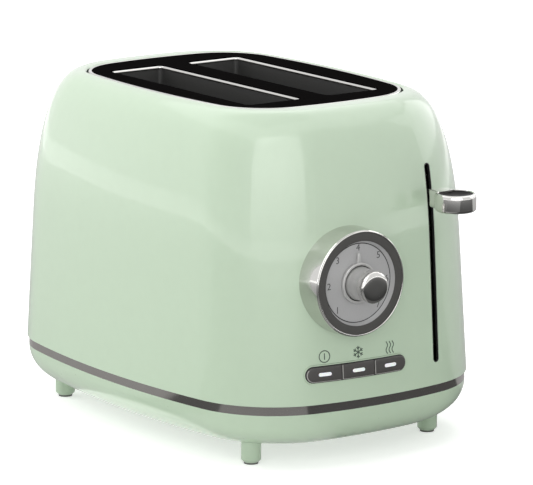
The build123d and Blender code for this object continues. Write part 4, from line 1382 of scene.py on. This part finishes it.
@dataclass
class ReturnSpring:
    """Drawn-wire spring from the rod's bracket to the carriage."""

    x: float = 56.5
    y: float = -88.0
    low: float = 114.0
    high: float = 164.0
    end: float = 2.7
    end_steps: int = 4
    radius: float = 3.0
    wire: float = 0.45
    wire_steps: int = 8
    turns: int = 8
    turn_steps: int = 24
    blend_inset: float = 1.0
    sharp: float = 60.0

    def place(self, z: float) -> tuple[float, float, float]:
        """Point on the spring's axis at a height, in metres."""
        return self.x * MM, self.y * MM, z * MM

    def build(self) -> None:
        """Carries a round wire along a helix with upright ends."""
        straight = np.linspace(0, 1, self.end_steps)
        share = np.linspace(0, 1, self.turn_steps * self.turns + 1)
        foot = self.low + self.end
        head = self.high - self.end
        still = np.zeros(self.end_steps - 1)
        angle = np.concatenate([still, 2 * np.pi * self.turns * share, still])
        z = np.concatenate([self.low + self.end * straight[:-1], foot + (head - foot) * share,
                            head + self.end * straight[1:]])
        across = np.column_stack([np.cos(angle), np.sin(angle), np.zeros(len(angle))])
        path = np.array([self.x, self.y, 0.0]) + self.radius * across
        path[:, 2] = z
        along = np.gradient(path, axis=0)
        along /= np.linalg.norm(along, axis=1, keepdims=True)
        wire = circle((0, 0), self.wire, self.wire_steps)
        shape = carried(path, across, np.cross(along, across), wire, False)
        made = piece("return_coil", shape, WIRE_STEEL, None, self.sharp)
        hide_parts("return_spring")
        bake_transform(made)


# Studio

def heading(azimuth: float | np.ndarray) -> np.ndarray:
    """Level unit vector at an azimuth in degrees, from the front (-Y) towards the left (-X)."""
    turn = np.radians(azimuth)
    return np.stack([-np.sin(turn), -np.cos(turn), np.zeros_like(turn)], axis=-1)


def stage_piece(name: str, shape: Shape, material: bpy.types.Material) -> bpy.types.Object:
    """Makes a piece of the stage, which isn't part of the object.

    Args:
        name: Name of the piece.
        shape: Corners in metres and faces.
        material: What it is made of.

    Returns:
        The new object.
    """
    points, faces = shape
    mesh = bpy.data.meshes.new(name)
    mesh.from_pydata(points.tolist(), [], faces)
    mesh.materials.append(material)
    made = bpy.data.objects.new(name, mesh)
    bpy.context.scene.collection.objects.link(made)
    return made


@dataclass(frozen=True)
class Softbox:
    """Rectangular area lamp, aimed level or at the toaster's middle."""

    name: str
    azimuth: float
    distance: float
    height: float
    wide: float
    tall: float
    radiance: float
    level: bool = True
    lights: bool = True
    mirrored: bool = True
    strips: int = 1
    fade: float = 0.0

    def build(self, target: Vector) -> None:
        """Hangs the lamp as strips, one above the other, that fade from the top strip to the lowest.

        Args:
            target: The toaster's middle.
        """
        for strip in range(self.strips):
            share = (strip + 0.5) / self.strips - 0.5
            self.hang(target, self.height + share * self.tall, self.radiance * (1 + 2 * share * self.fade))

    def hang(self, target: Vector, height: float, radiance: float) -> None:
        """Hangs one strip, whose power is radiance times area times pi, and turns it to the target.

        Args:
            target: The toaster's middle.
            height: Height of the strip's middle.
            radiance: How bright the strip is.
        """
        tall = self.tall / self.strips
        lamp = bpy.data.lights.new(self.name, "AREA")
        lamp.shape = "RECTANGLE"
        lamp.size = self.wide
        lamp.size_y = tall
        lamp.energy = radiance * self.wide * tall * math.pi
        made = bpy.data.objects.new(self.name, lamp)
        place = Vector(heading(self.azimuth) * self.distance) + Vector((0, 0, height))
        aim = Vector((target.x, target.y, height)) if self.level else target
        made.location = place
        made.rotation_mode = "QUATERNION"
        made.rotation_quaternion = (aim - place).to_track_quat("-Z", "Y")
        made.visible_camera = False
        made.visible_diffuse = self.lights
        made.visible_glossy = self.mirrored
        bpy.context.scene.collection.objects.link(made)


@dataclass(frozen=True)
class Flag:
    """Studio card that only mirrors see, laid on the floor."""

    name: str
    first: float
    last: float
    near: float
    far: float
    tone: float
    far_tone: float
    steps: int = 13

    def build(self) -> None:
        """Lays the card between two distances over an arc of azimuths, and shades it with the distance."""
        ways = heading(np.linspace(self.first, self.last, self.steps))
        points = ways[:, None, :] * np.array([self.near, self.far])[None, :, None] + (0, 0, CARD_LIFT)
        material, tree = empty_material(f"paper_{self.name}")
        shade = by_distance(tree, self.near, self.far, self.tone, self.far_tone)
        glow = add_node(tree, "ShaderNodeEmission", {"Strength": shade})
        add_node(tree, "ShaderNodeOutputMaterial", {"Surface": glow.outputs["Emission"]})
        shape = points.reshape(-1, 3), grid_faces(self.steps, 2, False, False)
        made = stage_piece(self.name, shape, material)
        made.visible_camera = False
        made.visible_diffuse = False
        made.visible_shadow = False
        made.visible_transmission = False


@dataclass
class Studio:
    """White sweep, soft lamps, cards for the mirrors and the camera of the photograph."""

    camera_place: tuple[float, float, float] = (-1.2797, -1.8146, 0.5659)
    camera_right: tuple[float, float, float] = (0.8138, -0.5811, 0.0)
    camera_up: tuple[float, float, float] = (0.1201, 0.1682, 0.9784)
    camera_reach: float = 50.0
    focal_pixels: float = 4108.57
    sensor: float = 36.0
    ambient: float = 0.42
    floor_size: float = 12.0
    floor_colour: str = "F2F2F2"
    floor_fill: float = 0.12
    floor_glow: float = 0.38
    far_glow: float = 1.0
    floor_near: float = 0.5
    floor_far: float = 1.6
    lamps: tuple[Softbox, ...] = (
        Softbox("key_left", 150.0, 1.7, 0.77, 2.1, 1.5, 1.9, mirrored=False),
        Softbox("key_front", 40.0, 2.0, 1.1, 2.4, 1.9, 1.1, mirrored=False),
        Softbox("panel_low", 27.5, 1.2, 0.25, 1.41, 0.5, 0.9, lights=False, strips=8, fade=0.65),
        Softbox("panel_high", 27.5, 1.2, 0.975, 1.41, 0.95, 1.5, lights=False),
        Softbox("panel_right", -85.0, 1.7, 0.95, 2.1, 1.2, 1.0, lights=False),
        Softbox("key_top", 180.0, 0.1, 1.7, 1.4, 1.4, 2.5, level=False, mirrored=False),
        Softbox("panel_top", 180.0, 0.1, 1.7, 3.4, 3.4, 0.65, level=False, lights=False),
    )
    flags: tuple[Flag, ...] = (
        Flag("card_left", 72.0, 100.0, 0.1, 1.8, 0.12, 0.7),
        Flag("card_right", -60.0, 8.0, 0.1, 0.28, 0.14, 0.12),
        Flag("card_deep", -60.0, 8.0, 0.28, 1.8, 0.04, 0.4),
        Flag("card_front", 8.0, 72.0, 0.1, 0.4, 0.45, 0.25),
        Flag("card_far", 8.0, 72.0, 0.4, 1.8, 0.13, 0.9),
        Flag("card_back", 100.0, 300.0, 0.1, 1.8, 0.45, 0.95),
    )

    @staticmethod
    def seen(tree: bpy.types.NodeTree) -> bpy.types.NodeSocket:
        """Adds camera, glossy and transmission rays, so that all three see the same white.

        Args:
            tree: Node tree that takes the nodes.

        Returns:
            Socket that is 1 for these rays and 0 for the others.
        """
        path = add_node(tree, "ShaderNodeLightPath")
        first = add_node(tree, "ShaderNodeMath",
                         {0: path.outputs["Is Camera Ray"], 1: path.outputs["Is Glossy Ray"]},
                         operation="ADD")
        both = add_node(tree, "ShaderNodeMath",
                        {0: first.outputs["Value"], 1: path.outputs["Is Transmission Ray"]},
                        operation="ADD", use_clamp=True)
        return both.outputs["Value"]

    def world(self) -> None:
        """White to the eye and in reflections, and a softer light on everything else."""
        world = bpy.data.worlds.new("studio_air")
        bpy.context.scene.world = world
        world.use_nodes = True
        tree = world.node_tree
        tree.nodes.clear()
        strength = add_node(tree, "ShaderNodeMix",
                            {"Factor": self.seen(tree), NUMBER_A: self.ambient, NUMBER_B: 1.0})
        back = add_node(tree, "ShaderNodeBackground",
                        {"Color": (1.0, 1.0, 1.0, 1.0), "Strength": strength.outputs[NUMBER_MIXED]})
        add_node(tree, "ShaderNodeOutputWorld", {"Surface": back.outputs["Background"]})

    def floor(self) -> None:
        """Pale floor that keeps the shadow near the toaster and reads white further off."""
        material, tree = empty_material("paper_white_sweep")
        paper = add_node(tree, "ShaderNodeBsdfDiffuse", {"Color": linear(self.floor_colour)})
        white = by_distance(tree, self.floor_near, self.floor_far, self.floor_glow, self.far_glow)
        glow = add_node(tree, "ShaderNodeMath", {0: self.seen(tree), 1: white}, operation="MULTIPLY")
        fill = add_node(tree, "ShaderNodeMath", {0: glow.outputs["Value"], 1: self.floor_fill},
                        operation="ADD")
        light = add_node(tree, "ShaderNodeEmission", {"Strength": fill.outputs["Value"]})
        both = add_node(tree, "ShaderNodeAddShader",
                        {0: paper.outputs["BSDF"], 1: light.outputs["Emission"]})
        add_node(tree, "ShaderNodeOutputMaterial", {"Surface": both.outputs["Shader"]})
        square = np.array([(-1, -1, 0), (1, -1, 0), (1, 1, 0), (-1, 1, 0)]) * (self.floor_size / 2)
        stage_piece("floor", (square, [[0, 1, 2, 3]]), material)

    def camera(self) -> None:
        """Stands the camera where the photograph was taken from."""
        lens = bpy.data.cameras.new("camera")
        lens.sensor_fit = "HORIZONTAL"
        lens.sensor_width = self.sensor
        lens.lens = self.focal_pixels / PHOTO_WIDTH * self.sensor
        lens.clip_end = self.camera_reach
        made = bpy.data.objects.new("camera", lens)
        right = Vector(self.camera_right).normalized()
        up = Vector(self.camera_up).normalized()
        turn = Matrix((right, up, right.cross(up))).transposed().to_4x4()
        made.matrix_world = Matrix.Translation(self.camera_place) @ turn
        bpy.context.scene.collection.objects.link(made)
        bpy.context.scene.camera = made

    def build(self) -> None:
        """Sets the stage."""
        bpy.context.scene.view_settings.view_transform = "Standard"
        self.world()
        self.floor()
        self.camera()
        target = (cad_low + cad_high) / 2
        for lamp in self.lamps:
            lamp.build(target)
        for flag in self.flags:
            flag.build()


def dress_nodes() -> None:
    """Gives every node of the frame its finish."""
    for finish, names in DRESSED.items():
        for name in names:
            mesh = NODES[name].data
            mesh.materials.clear()
            mesh.materials.append(finish.build())
            log.info("node %s in %s", name, finish.name)


def main() -> None:
    """Builds the sub-assemblies in order."""
    logging.basicConfig(level=logging.INFO, format="%(name)s: %(message)s")
    dress_nodes()
    TopTrim().build()
    LeverKnob().build()
    BrowningDial().build()
    ButtonRow().build()
    ReturnSpring().build()
    Signs().build()
    Numerals().build()
    Studio().build()


if __name__ == "__main__":
    main()
